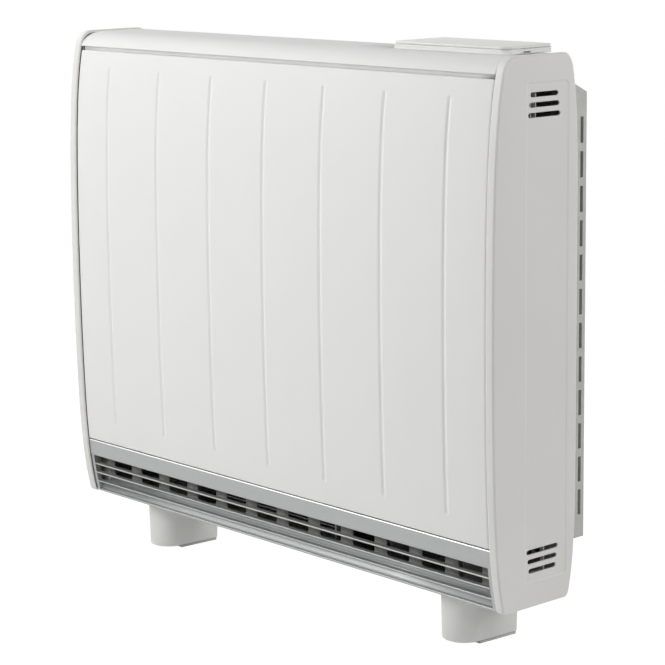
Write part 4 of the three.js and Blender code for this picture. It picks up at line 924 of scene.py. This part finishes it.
# Pressed fibre: chalky cream board with matted fibres about 0.2 mm thick, drawn 4 mm
# wide so that they show.
fibre_board, tree, shader, place = surface("pressed_fibre", "DAD5C6", 0.95)
matted = add(tree, "ShaderNodeTexNoise", {
    "Vector": place, "Scale": 260.0, "Detail": 6.0, "Distortion": 1.5})
tint = add(tree, "ShaderNodeMix", {
    0: matted.outputs["Fac"], 6: colour("CFC9B8"), 7: colour("E4E0D3")}, data_type="RGBA")
raised = add(tree, "ShaderNodeBump", {
    "Height": matted.outputs["Fac"], "Strength": 0.4, "Distance": 0.0006})
connect(tree, shader, {"Base Color": tint.outputs[2], "Normal": raised.outputs[0]})

# Heat-tinted alloy tube: grey-brown steel with bands of straw and blue where it has glowed.
tinted_tube, tree, shader, place = surface("heat_tinted_tube", "786F68", 0.4, metallic=0.9)
band = add(tree, "ShaderNodeTexNoise", {"Vector": place, "Scale": 18.0, "Detail": 3.0})
tint = add(tree, "ShaderNodeValToRGB", {0: band.outputs["Fac"]})
tint.color_ramp.elements[0].color = colour("5F6470")
tint.color_ramp.elements[0].position = 0.38
tint.color_ramp.elements[1].color = colour("8A7A66")
tint.color_ramp.elements[1].position = 0.6
connect(tree, shader, {"Base Color": tint.outputs[0]})

store_finishes = {"brick_": fired_brick, "insulation_": fibre_board,
                  "heating_element_": tinted_tube}
for name in nodes:
    for beginning, finish in store_finishes.items():
        if name.startswith(beginning):
            dress(name, finish)


# ---- Fan drive and wiring -----------------------------------------------------------
# A small motor turns the long fan rotor in a brass bush, and the mains lead's gland,
# terminals, thermal cut-out and circuit board are ordinary bought-in parts.
# Glass-filled black plastic: matt, with short pale fibres just under its skin.
black_plastic, tree, shader, place = surface("glass_filled_black", "2A2A2C", 0.55, ior=1.53)
fibres = add(tree, "ShaderNodeTexNoise", {"Vector": place, "Scale": 700.0, "Detail": 4.0})
tint = add(tree, "ShaderNodeMix", {
    0: fibres.outputs["Fac"], 6: colour("232325"), 7: colour("343436")}, data_type="RGBA")
raised = add(tree, "ShaderNodeBump", {
    "Height": fibres.outputs["Fac"], "Strength": 0.15, "Distance": 0.0002})
connect(tree, shader, {"Base Color": tint.outputs[2], "Normal": raised.outputs[0]})

# Sintered brass: dull yellow metal with fine oil pores.
sintered_brass, tree, shader, place = surface("sintered_brass", "B0904F", 0.5, metallic=0.95)
pores = add(tree, "ShaderNodeTexNoise", {"Vector": place, "Scale": 1200.0, "Detail": 2.0})
raised = add(tree, "ShaderNodeBump", {
    "Height": pores.outputs["Fac"], "Strength": 0.3, "Distance": 0.0002})
connect(tree, shader, {"Normal": raised.outputs[0]})

# Solder-masked laminate: green lacquer over a woven glass board, drawn with its threads
# a millimetre apart so that they show.
laminate, tree, shader, place = surface("solder_masked_laminate", "2E6B3F", 0.3)
weave = add(tree, "ShaderNodeTexWave", {"Vector": place, "Scale": 320.0, "Distortion": 1.0})
tint = add(tree, "ShaderNodeMix", {
    0: weave.outputs["Fac"], 6: colour("285F37"), 7: colour("347746")}, data_type="RGBA")
connect(tree, shader, {"Base Color": tint.outputs[2]})

# Red moulded key: satin, barely textured.
red_key, tree, shader, place = surface("red_moulding", "B5302B", 0.35)
grain = add(tree, "ShaderNodeTexNoise", {"Vector": place, "Scale": 900.0, "Detail": 2.0})
raised = add(tree, "ShaderNodeBump", {
    "Height": grain.outputs["Fac"], "Strength": 0.1, "Distance": 0.0002})
connect(tree, shader, {"Normal": raised.outputs[0]})

bought_in = {"fan_motor": black_plastic, "damper_actuator": black_plastic,
             "thermal_cutout": black_plastic, "cable_gland": black_plastic,
             "fan_bearing": sintered_brass, "control_board": laminate,
             "reset_button": red_key, "terminal_block": moulded_abs}
for name, finish in bought_in.items():
    dress(name, finish)
